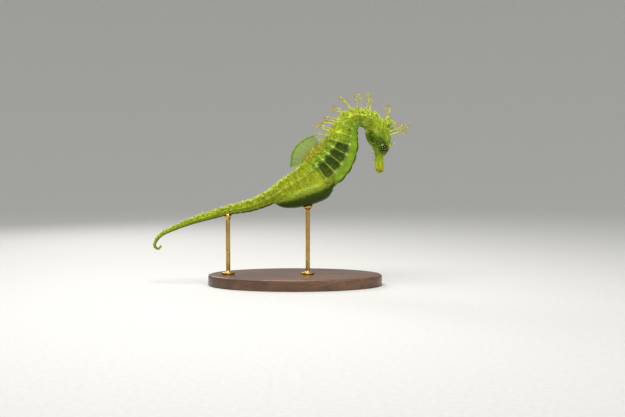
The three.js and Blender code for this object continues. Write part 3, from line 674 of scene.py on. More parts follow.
def coronet():
    """The column, its five points and the spurs between them."""
    up, out, star = (np.array(column) for column in zip(*CORONET_ROWS))
    row = np.linspace(0, len(up) - 1, 60)
    up, out, star = (smooth_track(np.arange(len(up)), part)(row) for part in (up, out, star))
    turn = full_turn(90)
    reach = CORONET["radius"] * out[:, None] * (1 + star[:, None] * np.cos(CORONET["points"] * turn))
    height = np.repeat(CORONET["height"] * up[:, None], len(turn), 1)
    column = np.stack([reach * np.cos(turn), reach * np.sin(turn), height], -1)
    forms = [closed_grid(placed_on_head(column))]
    size = [CORONET["radius"], CORONET["radius"], CORONET["height"]]
    for i in range(2 * CORONET["points"]):
        shares, (root, tip) = (POINT, SPUR)[i % 2]
        around = math.pi * i / CORONET["points"]
        path = np.array([(out, out, up) for out, up in shares]) * size
        path = path * [math.cos(around), math.sin(around), 1]
        forms.append(tube(placed_on_head(curved(*path, 12)), np.linspace(root, tip, 12), 14))
    return forms


crown_parts = coronet()
CORONET_AXIS = placed_on_head([0, 0, 1]) - placed_on_head([0, 0, 0])
print(f"coronet: {len(crown_parts)} forms")


# %% [markdown]
# ## One skin over everything
#
# Voxel remeshing throws a net of tiny cubes over all these overlapping forms and keeps only the
# outside, so bone, pouch and tail become one unbroken skin with no seams. It works in whole cells, so
# the surface is then relaxed a little, as skin drawn over bone is.

# %% Melt the forms together
VOXEL = 0.17


def melt(points, faces, voxel):
    """One closed surface around overlapping closed forms."""
    mesh = bpy.data.meshes.new("melting")
    mesh.from_pydata(points.tolist(), [], faces)
    work = put_in_scene("melting", mesh)
    remesh = work.modifiers.new("net", "REMESH")
    remesh.mode = "VOXEL"
    remesh.voxel_size = voxel
    evaluated = work.evaluated_get(bpy.context.evaluated_depsgraph_get())
    net = evaluated.to_mesh()
    found = np.empty(len(net.vertices) * 3)
    net.vertices.foreach_get("co", found)
    quads = np.empty(len(net.loops), int)
    net.loops.foreach_get("vertex_index", quads)
    evaluated.to_mesh_clear()
    bpy.data.objects.remove(work)
    bpy.data.meshes.remove(mesh)
    return found.reshape(-1, 3), quads.reshape(-1, 4)


skin_points, skin_faces = melt(*gather([armour, pouch_bag, *skull_parts, *crown_parts]), VOXEL)
print(f"skin: {len(skin_points)} points, {2 * len(skin_faces)} triangles")


# %% Relax and find normals
def relax(points, faces, rounds, pull=0.5, give_back=0.92, share=1.0):
    """Moves each point towards the middle of its neighbours, then gives some of that back."""
    edges = np.concatenate([faces[:, [0, 1]], faces[:, [1, 2]], faces[:, [2, 3]], faces[:, [3, 0]]])
    here, beside = edges.T
    count = np.bincount(here, minlength=len(points))[:, None]
    for lap in range(rounds):
        total = [np.bincount(here, points[beside, axis], len(points)) for axis in range(3)]
        strength = -pull * give_back if give_back and lap % 2 else pull
        points = points + (np.stack(total, -1) / count - points) * strength * share
    return points


def normals_of(points, faces):
    """The outward direction at each point."""
    a, b, c, d = (points[faces[:, corner]] for corner in range(4))
    across = np.cross(c - a, d - b)
    normals = np.zeros_like(points)
    for corner in range(4):
        for axis in range(3):
            normals[:, axis] += np.bincount(faces[:, corner], across[:, axis], len(points))
    return normals / np.maximum(np.linalg.norm(normals, axis=1, keepdims=True), 1e-12)


RELAX_ROUNDS = 8
melted_points = skin_points
skin_points = relax(skin_points, skin_faces, RELAX_ROUNDS)
moved = np.linalg.norm(skin_points - melted_points, axis=1)
print(f"relaxing moved the skin by {moved.mean():.3f} mm, and by {moved.max():.2f} mm at most")


# %% [markdown]
# ## Where each point of the skin lies
#
# Fine relief and markings both need to know a point's place on the animal: how far along the body it
# is, how far up towards the back and how far out to the side. The nearest point of the midline, seen
# from the side, gives all three.

# %% Place along the body
def body_place(points, samples=1400):
    """For each point its s on the midline, its height towards the back and its distance aside."""
    s = np.linspace(0, BODY_LENGTH, samples)
    line, _, back = midline(s)
    nearest = np.empty(len(points), int)
    for start in range(0, len(points), 20000):
        part = points[start : start + 20000]
        gap = (part[:, None, 0] - line[None, :, 0]) ** 2 + (part[:, None, 2] - line[None, :, 2]) ** 2
        nearest[start : start + 20000] = gap.argmin(1)
    offset = points - line[nearest]
    up = (offset * back[nearest]).sum(1) / MIDLINE["deep"](s[nearest])
    aside = offset[:, 1] / MIDLINE["wide"](s[nearest])
    return s[nearest], up, aside


def step(value, low, high):
    """0 below low, 1 above high, smooth between. It falls instead if high is the smaller."""
    u = np.clip((value - low) / (high - low), 0, 1)
    return u * u * (3 - 2 * u)


# %% Draw the pouch into the tail
# Skin over two forms that touch is drawn tight between them. Relaxing only the crease, with nothing
# given back, lays the pouch against the tail with no ledge.
def near_path(points, path, width):
    """1 on a path of (x, z) points seen from the side, fading to 0 over width either way."""
    path = np.array(path, float)
    closest = np.full(len(points), 1e9)
    for a, b in zip(path[:-1], path[1:]):
        along = np.clip(((points[:, [0, 2]] - a) @ (b - a)) / ((b - a) @ (b - a)), 0, 1)
        foot = a + along[:, None] * (b - a)
        closest = np.minimum(closest, np.linalg.norm(points[:, [0, 2]] - foot, axis=1))
    return bell(closest, width)


POUCH_SEAM = [(-10.5, 46.3), (3.3, 51.9), (12.9, 55.2), (21.0, 58.3)]
SEAM_WIDTH, SEAM_ROUNDS = 1.7, 90
drawn = near_path(skin_points, POUCH_SEAM, SEAM_WIDTH)[:, None]
skin_points = relax(skin_points, skin_faces, SEAM_ROUNDS, give_back=0, share=drawn)
print(f"the seam takes in {int((drawn > 0.5).sum())} points")

skin_s, skin_up, skin_aside = body_place(skin_points)
print(f"skin reaches from s {skin_s.min():.1f} to {skin_s.max():.1f} mm")


# %% Masks by place along the body
def past(station, start, full):
    """0 until start mm past a station towards the mouth, 1 from full on."""
    return step(skin_s, KNOTS[station] + start, KNOTS[station] + full)


def past_ring(start, full):
    """0 behind the ring start, 1 ahead of the ring full, both counted back from the cleithrum."""
    return step(skin_s, trunk_edge(start), trunk_edge(full))


on_head = past(CLEITHRUM, -0.5, 1.5)
off_head = 1 - on_head
trunk_share = past(VENT, -6, 6)
on_tail = past(VENT, 2, -4)
on_neck = past_ring(5.2, 4.2) * off_head
on_trunk = trunk_share * off_head
print(f"{int(on_head.sum())} points on the head, {int(on_tail.sum())} on the tail")


# %% Making pieces
def make_piece(name, points, faces, finish, slot, marks=None, replaced=()):
    """A smooth-shaded piece from points in millimetres, which rides on the model's one body."""
    mesh = bpy.data.meshes.new(name)
    mesh.from_pydata((np.asarray(points) * MM).tolist(), [], faces)
    mesh.update()
    for mark, values in (marks or {}).items():
        stored = mesh.attributes.new(mark, "FLOAT", "POINT")
        stored.data.foreach_set("value", np.asarray(values, np.float32))
    mesh.shade_smooth()
    mesh.materials.append(finish)
    piece = put_in_scene(name, mesh)
    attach(piece, "root")
    if replaced:
        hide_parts(*replaced)
    print(f"{name}: {len(mesh.vertices)} points")


# %% [markdown]
# ## Folds, grooves and warts
#
# Under a lens the skin is never smooth. The head has a slit of a mouth, nostrils, a groove round
# each gill cover and fine ridges that fan across it. Small warts, paler than the skin, stand all
# over the neck, the head and the pouch. They are pushed out of the melted skin or pressed into it
# along its own normals, because bump alone would vanish from the outline.

# %% Grooves of the head
skin_normals = normals_of(skin_points, skin_faces)
sideways = np.abs(skin_normals[:, 1])


def raised(points, amount):
    """The skin's points moved outwards by so much at each. A negative amount presses them in."""
    return points + skin_normals * amount[:, None]


# Paths on the side of the head, as x and z in millimetres.
GILL_RIM = [(42.3, 85.0), (41.5, 82.6), (41.7, 80.0), (43.0, 78.0), (45.2, 77.3), (47.3, 78.0)]
JAW_LINE = [(46.9, 71.0), (45.4, 67.0), (45.4, 64.4), (45.9, 63.0)]
MOUTH = [(45.9, 63.1), (47.0, 62.6), (48.2, 62.9)]
BROW_RIDGE = [(50.7, 77.2), (50.9, 79.6), (50.2, 82.8), (49.2, 86.4)]
CHEEK_RIDGE = [(46.5, 76.4), (44.6, 76.6), (42.6, 77.8)]
# Path, width, depth and where it shows. A negative depth raises a ridge.
GROOVES = [
    (GILL_RIM, 0.34, 0.42, step(sideways, 0.15, 0.5)),
    (JAW_LINE, 0.22, 0.16, step(sideways, 0.3, 0.7)),
    (MOUTH, 0.2, 0.4, 1),
    (BROW_RIDGE, 0.45, -0.32, step(sideways, 0.2, 0.6)),
    (CHEEK_RIDGE, 0.4, -0.3, step(sideways, 0.3, 0.7)),
]
for path, width, depth, where in GROOVES:
    skin_points = raised(skin_points, -near_path(skin_points, path, width) * depth * (on_head * where))
print(f"{len(GROOVES)} grooves and ridges")


# %% Gill ridges, lids and nostrils
GILL_CENTRE = (46.4, 81.6)
GILL_RIDGES = {"per_turn": 26, "rise": 0.13}
LID_FOLDS = {"apart": 0.42, "rise": 0.045}
NOSTRIL = {"x": 49.35, "y": 0.85, "z": 73.3, "radius": 0.3, "depth": 0.4}

gill_offset = skin_points[:, [0, 2]] - GILL_CENTRE
gill_reach = np.hypot(*gill_offset.T)
gill_turn = np.arctan2(gill_offset[:, 1], gill_offset[:, 0])
on_gill = on_head * step(sideways, 0.35, 0.7) * step(gill_reach, 1.0, 2.0) * step(gill_reach, 4.9, 4.2)
striae = 0.5 + 0.5 * np.cos(GILL_RIDGES["per_turn"] * gill_turn + 0.8 * np.sin(2 * gill_reach))
skin_points = raised(skin_points, GILL_RIDGES["rise"] * striae * on_gill)

from_eye = np.hypot(skin_points[:, 0] - EYE["x"], skin_points[:, 2] - EYE["z"])
on_lid = on_head * step(sideways, 0.2, 0.5) * step(from_eye, 1.7, 1.95) * step(from_eye, 3.4, 3.0)
folds = LID_FOLDS["rise"] * np.cos(2 * math.pi * from_eye / LID_FOLDS["apart"])
skin_points = raised(skin_points, folds * on_lid)


def in_nostril(points):
    """1 in the middle of either nostril, fading to 0 over its radius."""
    centres = [(NOSTRIL["x"], side * NOSTRIL["y"], NOSTRIL["z"]) for side in (-1, 1)]
    reach = [np.linalg.norm(points - at, axis=1) for at in centres]
    return bell(np.min(reach, axis=0), NOSTRIL["radius"])


skin_points = raised(skin_points, -NOSTRIL["depth"] * in_nostril(skin_points))
print(f"gill covers: {int((on_gill > 0.5).sum())} points carry ridges")


# %% Place on a ring and on the pouch
ring, through, armoured = ring_place(skin_s)
pitch = EDGES[ring + 1] - EDGES[ring]
ahead = np.abs(through - 0.5) * pitch
x, z = skin_points[:, 0], skin_points[:, 2]

# Heights on the pouch are measured from this line along its side, given as x and then z.
POUCH_LINE = ([-12.0, -2.8, 2.8, 8.3, 13.8, 19.3, 22.0], [44.6, 47.2, 48.8, 50.7, 52.4, 55.6, 57.4])
pouch_height = z - np.interp(x, *POUCH_LINE)
on_pouch = step(x, -13.0, -11.0) * step(x, 22.5, 21.0) * step(pouch_height, 5.0, 3.0)
off_pouch = 1 - on_pouch
print(f"{int(on_pouch.sum())} points on the pouch")


# %% Ribs, cords and uneven skin
RIB_LINE = {"spread": 0.05, "rise": 0.036}
CORD_LINES, CORD_RISE = [(0.36, 0.024), (-0.47, 0.03)], 0.028
STRIAE_PER_RING, FOLD_RISE = 7, 0.006
GRAIN_SIZES = [(1.1, 1.0), (0.6, 0.75), (0.38, 0.45)]


def unevenness(points, scale):
    """Smooth noise from -1 to 1 whose features are about scale millimetres across."""
    return np.array([noise.noise(Vector(p)) for p in (points / scale).tolist()])


beading = 0.75 + 0.4 * unevenness(skin_points + 9, 0.9)
rib = RIB_LINE["rise"] * bell(ahead, RIB_LINE["spread"] * pitch) * step(skin_up, -0.6, -0.4) * beading
cord = np.max([CORD_RISE * bell(skin_up - up, width) for up, width in CORD_LINES], axis=0)
fold = FOLD_RISE * np.cos(2 * math.pi * STRIAE_PER_RING * through) * step(np.abs(skin_aside), 0.5, 0.8)
relief = (np.maximum(rib, cord * trunk_share) + fold * trunk_share) * pitch * armoured * off_pouch

rough = 0.05 + 0.06 * on_neck + 0.05 * on_tail * step(skin_up, -0.4, 0.4) + 0.02 * on_head
for size, share in GRAIN_SIZES:
    relief = relief + share * rough * unevenness(skin_points + 40 * share, size)
skin_points = raised(skin_points, relief)
skin_normals = normals_of(skin_points, skin_faces)
print(f"relief from {relief.min():.2f} to {relief.max():.2f} mm")


# %% [markdown]
# ## Warts
#
# Each wart is a point on the skin with a height and a spread. Neighbours are found with a k-d tree,
# so only the skin round each wart is moved. The same falloff is kept as a marking, because the
# warts are paler than the skin between them.

# %% Raise the warts
WARTS = {"count": 1900, "apart": 0.7, "spread": (0.16, 0.32), "height": (0.08, 0.22)}
dice = np.random.default_rng(11)
tree_of_skin = kdtree.KDTree(len(skin_points))
for index, place in enumerate(skin_points.tolist()):
    tree_of_skin.insert(place, index)
tree_of_skin.balance()


def scattered(count, chance, apart):
    """Points of the skin picked at random where chance is high, and no closer together than apart."""
    order = dice.permutation(len(skin_points))[: count * 14]
    picked, taken = [], np.zeros(len(skin_points), bool)
    for index in order[dice.random(len(order)) < chance[order]]:
        if not taken[index]:
            picked.append(index)
            for _, near, _ in tree_of_skin.find_range(skin_points[index], apart):
                taken[near] = True
        if len(picked) == count:
            break
    return picked


below = step(skin_up, -0.35, -0.6) * off_head * off_pouch
ragged = skin_up + 0.14 * unevenness(skin_points + 5, 1.6) + 0.05 * unevenness(skin_points, 0.5)
flank = step(ragged, -0.52, -0.4) * step(ragged, 0.46, 0.3)
on_flank = flank * past_ring(10.9, 10.3) * past_ring(6.35, 6.6)
wart_chance = 0.35 + 0.5 * on_neck + 0.3 * on_head + 0.35 * on_tail * step(skin_up, -0.2, 0.3)
wart_chance *= (1 - 0.9 * below) * (1 - 0.7 * on_flank)
wart_chance += 0.5 * bell(ahead, 0.35) * armoured * trunk_share * (1 - below)
wart_chance *= 1 - 0.95 * on_pouch * step(pouch_height, 2.0, 0.0)
wart_chance *= (1 - 0.8 * on_head * step(from_eye, 4.0, 2.5)) * past(SNOUT_ROOT, 5, -2)
specks = np.zeros(len(skin_points))
warts = scattered(WARTS["count"], wart_chance, WARTS["apart"])
lifted = skin_points.copy()
for index in warts:
    spread = dice.uniform(*WARTS["spread"])
    height = dice.uniform(*WARTS["height"])
    for _, near, reach in tree_of_skin.find_range(skin_points[index], spread * 2):
        falloff = math.exp(-((reach / spread) ** 2))
        specks[near] = max(specks[near], falloff)
        lifted[near] = lifted[near] + skin_normals[near] * height * falloff
skin_points = lifted
print(f"{len(warts)} warts")


# %% [markdown]
# ## Markings
#
# The ground colour is olive green. The crown of the neck, the nape and the top of the tail are a
# bright yellow green, and painted light makes the faces that turn up more golden still. Dark plates lie
# along the flank between thin pale ribs, and the belly is pale and half clear with a dark line along
# its keel. The pouch is golden above, partly with painted light, and nearly black beneath, partly its
# own dark skin and partly painted shade, with a ragged edge between. The underside of the tail has
# painted shade too. Five masks hold all this, one value for each point of the skin, from 0 to 1. They
# could be painted by hand, but rules of the body keep a rib pale all the way round.

# %% Noise that breaks the markings up
# Sizes in millimetres of the blurred patches, the mottling within them and the small dapples.
PATCH, MOTTLE, DAPPLE = 3.2, 1.3, 0.8
broad_noise = 0.5 + 0.5 * unevenness(skin_points, PATCH)
fine_noise = 0.5 + 0.5 * unevenness(skin_points + 17, MOTTLE)
dapple = step(unevenness(skin_points + 31, DAPPLE), -0.15, 0.3)
blotches = step(0.6 * fine_noise + 0.4 * broad_noise, 0.48, 0.6)
ragged_share = 0.4 + 0.9 * fine_noise
print(f"blotches cover {blotches.mean():.2f} of the skin, dapples {dapple.mean():.2f}")


# %% Plates, ribs and lines
def strongest(*masks):
    """The strongest of several masks at each point."""
    return np.max(masks, axis=0)


rib_line = bell(ahead, 0.28) * armoured * trunk_share
joint_line = bell(0.5 * pitch - ahead, 0.045 * pitch) * armoured * (0.3 + 0.9 * fine_noise)
plate_striae = 0.5 + 0.5 * np.cos(2 * math.pi * STRIAE_PER_RING * through + 3 * broad_noise)
plates = on_flank * (1 - 0.75 * rib_line) * (0.98 + 0.24 * fine_noise - 0.34 * plate_striae)
upper_flank = flank * past_ring(6.8, 6.3) * off_head
on_back = armoured * trunk_share * step(skin_up, 0.3, 0.42) * past_ring(4, 6)
mottled = 0.55 * on_back * blotches * step(ahead, 0.3, 0.9)
keel_line = step(skin_up, -0.88, -0.94) * past(VENT, 2, 6) * off_head
tail_line = step(skin_up, -0.58, -0.72) * on_tail * step(x, -11.0, -13.0)
print(f"plates cover {plates.mean():.2f} of the skin, rib lines {rib_line.mean():.2f}")


# %% Shade under the pouch
# The pouch's dark underside is partly its own dark skin and partly painted shade, the shade that light from
# above leaves under it. half_shade grades the upper pouch into it with more painted shade.
ragged_height = pouch_height + 2.2 * (fine_noise - 0.5)
half_shade = 0.66 * step(ragged_height, 4.9, 1.7) * step(x, 21.5, 17.5) * step(x, -12.5, -8.0)
pouch_shade = np.maximum(half_shade, on_pouch * step(ragged_height, 0.9, -1.4))
pouch_shade = pouch_shade * step(skin_up, -0.5, -0.62)
print(f"shade covers {pouch_shade.mean():.2f} of the skin")


# %% The face
def spot(at_x, at_z, radius):
    """1 at a place seen from the side, fading to 0 over about that radius."""
    return bell(np.hypot(x - at_x, z - at_z), radius)


FACE_MASK = [(40.8, 84.0), (42.2, 80.4), (44.2, 79.4), (46.9, 79.2), (48.4, 76.6)]
NAPE_PATCH = [(44.5, 88.0), (47.0, 85.8), (47.6, 83.8)]
EYE_STREAK = [(49.5, 75.6), (51.6, 76.6)]
eye_turn = np.arctan2(z - EYE["z"], x - EYE["x"])
lid_streaks = 0.86 + 0.14 * np.cos(22 * eye_turn + 1.5 * np.sin(5 * eye_turn))
face = on_head * strongest(
    np.clip(1.25 * near_path(skin_points, FACE_MASK, 2.1), 0, 1),
    0.55 * near_path(skin_points, NAPE_PATCH, 1.1),
    0.9 * near_path(skin_points, EYE_STREAK, 0.8),
    lid_streaks * step(from_eye, 3.4, 2.7),
)
gill_spot = on_head * bell(np.hypot(x - 45.2, z - 84.6) ** 2, 2.0**2) * step(sideways, 0.3, 0.6)
face = face * (1 - 0.8 * gill_spot) * (0.4 + 0.4 * fine_noise + 0.3 * dapple)
# Painted shade in the pressed-in mouth slit, jaw groove and nostrils.
shade_in_openings = strongest(
    0.8 * on_head * near_path(skin_points, MOUTH, 0.24),
    0.35 * on_head * near_path(skin_points, JAW_LINE, 0.25),
    in_nostril(skin_points),
)
coronet_share = step((skin_points - placed_on_head([0, 0, 0])) @ CORONET_AXIS, 0.5, 1.8)
crest_patches = strongest(on_head * step(z, 80.0, 85.0), 0.5 * on_neck) * blotches
crest_patches = 0.4 * crest_patches * (1 - coronet_share)
print(f"the face mask covers {face[on_head > 0.5].mean():.2f} of the head")


# %% Dark and pale
dark = strongest(
    plates,
    mottled,
    0.85 * keel_line,
    0.95 * tail_line,
    # Painted shade along the underside of the tail, away from the pouch.
    0.2 * on_tail * step(skin_up, 0.2, -0.5) * off_pouch,
    0.55 * joint_line * on_tail * off_pouch,
    0.27 * on_tail * step(x, -48.0, -36.0) * ragged_share,
    0.97 * pouch_shade,
    on_pouch * (0.16 + 0.22 * dapple),
    crest_patches,
    shade_in_openings,
    0.26 * upper_flank * (1 - plate_striae) * ragged_share,
    face,
)
wart_tops = step(specks, 0.3, 0.75)
dark = np.clip(dark, 0, 1) * (1 - 0.6 * wart_tops)

# Tubercles pale where a rib crosses one of the two cords.
CORD_HEIGHTS, ACROSS_TO_AHEAD = (0.36, -0.46), 9
knots = strongest(*(
    bell(np.hypot(ahead, ACROSS_TO_AHEAD * np.abs(skin_up - height)), 0.9) for height in CORD_HEIGHTS
))
pale = strongest(
    0.33 * rib_line * step(skin_up, -0.55, -0.4) * (1 - 0.6 * on_back) * (0.3 + 1.0 * fine_noise),
    0.8 * knots * trunk_share * armoured,
    0.55 * wart_tops * (1 - 0.5 * on_flank),
    # Partly painted light: the neck grows paler, in mottles, towards its top.
    0.34 * on_neck * step(skin_up, 0.1, 0.7) * (0.3 + 1.1 * fine_noise),
    0.75 * gill_spot * (0.5 + 0.5 * striae) * (0.25 + 0.75 * dapple),
    0.6 * coronet_share * (0.9 + 0.4 * fine_noise),
    0.35 * bell(skin_up + 0.5, 0.05) * on_trunk * step(x, 17.0, 21.0),
)
pale = np.clip(pale * (1 - 0.7 * pouch_shade) * (1 - 0.7 * face), 0, 1)
lid_glint = 0.75 * on_head * spot(47.6, 77.0, 0.65)
pale = np.maximum(pale, lid_glint)
print(f"dark {dark.mean():.3f}, pale {pale.mean():.3f} on average")


# %% Gold, belly and rust
upper_trunk = on_trunk * past_ring(6.6, 5.6)
lower_trunk = trunk_share * past_ring(7, 9)
# Gold is the skin's own yellow green on the crown, nape, coronet and snout. Where it grows towards the top
# of the neck, trunk and tail, and on the top of the pouch, it is partly painted light.
top_of_pouch = step(pouch_height, -1.5, 1.0) * step(pouch_height, 13.0, 9.0)
topside = step(skin_up, 0.25, 0.75)
gold = strongest(
    step(skin_up, -0.6, 0.5) * on_neck,
    0.9 * spot(40.5, 91.0, 3.2),
    0.75 * step(skin_up, -0.4, 0.2) * upper_trunk,
    (0.26 + 0.3 * step(skin_up, -0.2, 0.7)) * on_tail,
    on_head * step(z, 82.0, 87.0) * step(x, 51.5, 46.0),
    1.1 * coronet_share,
    0.4 * on_head * step(x, 47.5, 50.0) * step(z, 77.0, 80.0),
    0.8 * top_of_pouch * step(x, -13.0, -6.0) * step(x, 22.0, 19.0),
    0.2 * topside * trunk_share,
    0.5 * topside * lower_trunk,
    0.55 * past(SNOUT_ROOT, -2, 4),
)
gold = np.clip(gold * (0.55 + 0.75 * broad_noise), 0, 1)

belly = step(skin_up, -0.46, -0.56) * past(VENT, 2, 8)
belly = belly * off_head * off_pouch

# Small rusty spots: x, z and radius in millimetres.
RUST_SPOTS = [(21.5, 82.6, 1.0), (22.2, 78.2, 0.8), (39.0, 87.4, 1.4), (46.6, 64.6, 1.6)]
RUST_SPOTS += [(21.6, 88.2, 0.9), (32.5, 93.4, 1.4), (27.0, 92.0, 0.9), (48.6, 90.4, 1.0)]
fin_base = past_ring(TRUNK_RINGS + 1, 10) * past_ring(8, 9)
rust = strongest(
    0.65 * strongest(*(spot(*place) for place in RUST_SPOTS)),
    0.12 * strongest(on_tail, on_pouch) * step(skin_up, -0.9, -0.4),
    0.6 * fin_base * step(skin_up, 0.7, 0.95),
)
rust = np.clip(rust * (0.4 + 0.8 * fine_noise), 0, 1)
MARKS = {"dark": dark, "pale": pale, "gold": gold, "belly": belly, "rust": rust}
print({name: round(float(values.mean()), 3) for name, values in MARKS.items()})


# %% [markdown]
# ## The finish of the skin
#
# The skin is thin, wet and a little clear over bone, so light spreads a short way under it. Noise
# breaks up each colour at the scale of the animal's own mottling, and finer noise gives a soft grain.

# %% Moist skin
# Sizes are in millimetres. Skin cells and pigment grains are a few hundredths across, too fine to
# show, so the cells are drawn at half a millimetre and the finest pigment at 0.16.
CELL_SIZE, SEAM_SHARE = 0.55, 0.07
hide, tree, shader = new_finish("moist skin over bony plates")
mottle = speckle(tree, 2.6, 0.35, 0.65)
freckle = speckle(tree, 1.0, 0.42, 0.6)
grit = speckle(tree, 0.5, 0.5, 0.62)
grain = speckle(tree, 0.45, 0.3, 0.7)
pigment = speckle(tree, 0.16, 0.56, 0.68)
place = add_node(tree, "TexCoord", {}, "Object")
cells = {"Vector": place, "Scale": 1 / (CELL_SIZE * MM)}
to_seam = add_node(tree, "TexVoronoi", cells, "Distance", feature="DISTANCE_TO_EDGE")
seams = add_node(tree, "MapRange", {"Value": to_seam, "From Min": SEAM_SHARE, "From Max": 0})

colour = layered(tree, "678a08", ("8ca817", mottle, 1), ("445c06", freckle, 0.45), ("4c5c08", grit, 0.5))
golden = layered(tree, "dcec34", ("a0b416", freckle, 1))
TINTS = {
    "gold": (golden, "b4ca20", grain),
    "belly": ("80a61c", "9fc12e", mottle),
    "dark": ("1c2a03", "35480a", grain),
    "pale": ("a0c036", "cbe27a", grain),
    "rust": ("a8581a", "cf8a24", grain),
}
for mark, (ground, fleck, pattern) in TINTS.items():
    mask = add_node(tree, "Attribute", {}, "Fac", attribute_name=mark)
    colour = layered(tree, colour, (layered(tree, ground, (fleck, pattern, 1)), mask, 1))
colour = layered(tree, colour, ("3d5206", seams, 0.2), ("33400a", pigment, 0.45))

# A wet film evens out the pores only in part, so gloss and bump both vary with the grain.
roughness = add_node(tree, "MapRange", {"Value": grain, "To Min": 0.34, "To Max": 0.56})
sunken = add_node(tree, "Math", {0: seams, 1: 0.6}, operation="MULTIPLY", use_clamp=True)
pore_inputs = {0: speckle(tree, 0.22, 0.2, 0.8), 1: sunken}
pores = add_node(tree, "Math", pore_inputs, operation="SUBTRACT", use_clamp=True)
feed(tree, shader, {
    "Base Color": colour,
    "Roughness": roughness,
    "Normal": add_node(tree, "Bump", {"Height": pores, "Strength": 0.45, "Distance": 0.07 * MM}),
    "IOR": 1.4,
    "Specular IOR Level": 0.22,
    "Subsurface Weight": 0.08,
    "Subsurface Radius": (0.6, 0.7, 0.2),
    "Subsurface Scale": 0.6 * MM,
})

FLESH = ["snout", "head", "coronet", "neck", "trunk", "brood_pouch"]
FLESH += ["tail_base", "tail_second", "tail_third", "tail_fourth", "tail_tip"]
make_piece("skin", skin_points, skin_faces.tolist(), hide, "hide", MARKS, FLESH)


# %% [markdown]
# ## Skin filaments
#
# The mane is a loose fringe of fleshy filaments. Each starts stout on a ridge of a ring, tapers, bows
# in the water and splits into twigs that split again. The longest reach forward from the brow. They
# are grown as round tubes, as hairs drawn as lines would have no body to light.

# %% Growing a strand
STEM = {"root": 0.48, "tip": 0.2, "points": 26, "wander": 0.012, "twigs_per_mm": 0.5}
TWIG = {"root": 0.17, "tip": 0.08, "split": 0.6}
fringe = {"solids": [], "reach": []}


def grow(path, root, tip, reach_from=0.0, reach_to=1.0, sides=8):
    """Adds one tapering strand to the fringe and notes how far out along its filament each point is."""
    share = np.linspace(0, 1, len(path))
    radii = (root + (tip - root) * share) * (1 + 0.1 * np.sin(7 * share + 40 * path[0, 0]))
    reach = reach_from + (reach_to - reach_from) * share
    fringe["solids"].append(tube(path, radii, sides))
    fringe["reach"].append(np.concatenate([np.repeat(reach, sides), reach[[0, -1]]]))


def twig(start, angle, sideways, length, reach):
    """A short side branch that may split into two finer ones."""
    end = start + heading(angle, sideways) * length
    bend = (start + end) / 2 + dice.normal(0, 0.05 * length, 3)
    grow(curved(start, bend, end, 7), TWIG["root"], TWIG["tip"], reach, 1, 6)
    for turn in (-38, 34):
        if dice.random() < TWIG["split"]:
            tip = bend + heading(angle + turn, sideways + dice.uniform(-25, 25)) * length * 0.45
            grow(curved(bend, (bend + tip) / 2, tip, 5), TWIG["root"] * 0.75, TWIG["tip"], reach, 1, 6)


def fork(path, number, angle, sideways, length):
    """A main fork of a filament, with a twig of its own. Forks turn to either side by turns."""
    turn = (-1 if number % 2 else 1) * (28 + 8 * number)
    start = path[int((len(path) - 1) * (0.6 + 0.15 * number))]
    long = length * (0.34 - 0.06 * number)
    end = start + heading(angle + turn, sideways + turn / 3) * long
    bend = (start + end) / 2 + [0, 0, 0.04 * long]
    grow(curved(start, bend, end, 10), TWIG["root"] * 1.3, TWIG["tip"], 0.6, 1)
    twig((start + end) / 2, angle + turn * 1.6, sideways, long * 0.4, 0.8)


print(f"a stem is {2 * STEM['root']:.1f} mm thick at its root, a twig {2 * TWIG['root']:.2f} mm")


# %% A whole filament
def filament(root, angle, sideways, length, bow=9, forks=1):
    """A whole filament: its stem, its main forks and the twigs along it."""
    root = np.asarray(root, float)
    start = root - heading(angle, sideways) * 0.7
    middle = root + heading(angle - bow, sideways) * length * 0.5
    tip = root + heading(angle, sideways) * length
    path = curved(start, middle, tip, STEM["points"])
    share = np.linspace(0, 1, len(path))
    wander = np.sin(share * dice.uniform(7, 10) + dice.uniform(0, 6)) * share * STEM["wander"] * length
    path = path + wander[:, None] * np.array([0.5, 0.8, 0.3])
    grow(path, STEM["root"], STEM["tip"])
    for number in range(forks):
        fork(path, number, angle, sideways, length)
    for share in dice.uniform(0.3, 0.97, round(length * STEM["twigs_per_mm"])):
        turn = dice.choice([-1, 1]) * dice.uniform(25, 65)
        lean = sideways + dice.uniform(-50, 50)
        start = path[int((len(path) - 1) * share)]
        twig(start, angle + turn, lean, dice.uniform(0.4, 0.9) + 0.04 * length, share)


# %% The mane
def ridge_point(s, side):
    """A point of the superior ridge on one side."""
    s = np.array([s])
    point, _, back = midline(s)
    ridges, _ = section_at(MIDLINE["build"](s))
    across, up = ridges[0, 0] * [MIDLINE["wide"](s)[0], MIDLINE["deep"](s)[0]]
    return point[0] + back[0] * up + [0, abs(across) * side, 0]


#   rings back, side, angle, length, forks
MANE = [
    (1.6, -1, 84, 9.7, 3),
    (2.45, -1, 103, 8.7, 3),
    (2.95, -1, 133, 10.9, 1),
    (3.55, -1, 150, 8.9, 1),
    (4.25, -1, 172, 9.4, 1),
    (4.75, -1, 176, 9.4, 3),
    (5.6, -1, 165, 10.4, 1),
    (6.1, -1, 174, 8.4, 1),
    (7.6, -1, 128, 2.6, 0),
    (1.25, 1, 78, 7.8, 3),
    (2.1, 1, 92, 9.3, 3),
    (2.9, 1, 124, 10.2, 1),
    (3.5, 1, 164, 8.4, 1),
    (4.45, 1, 168, 7.4, 1),
    (5.4, 1, 157, 8.6, 2),
    (7.4, 1, 134, 2.3, 0),
]
for rings_back, side, angle, length, forks in MANE:
    filament(ridge_point(trunk_edge(rings_back), side), angle, side * 12, length, forks=forks)

print(f"{len(MANE)} filaments in the mane")


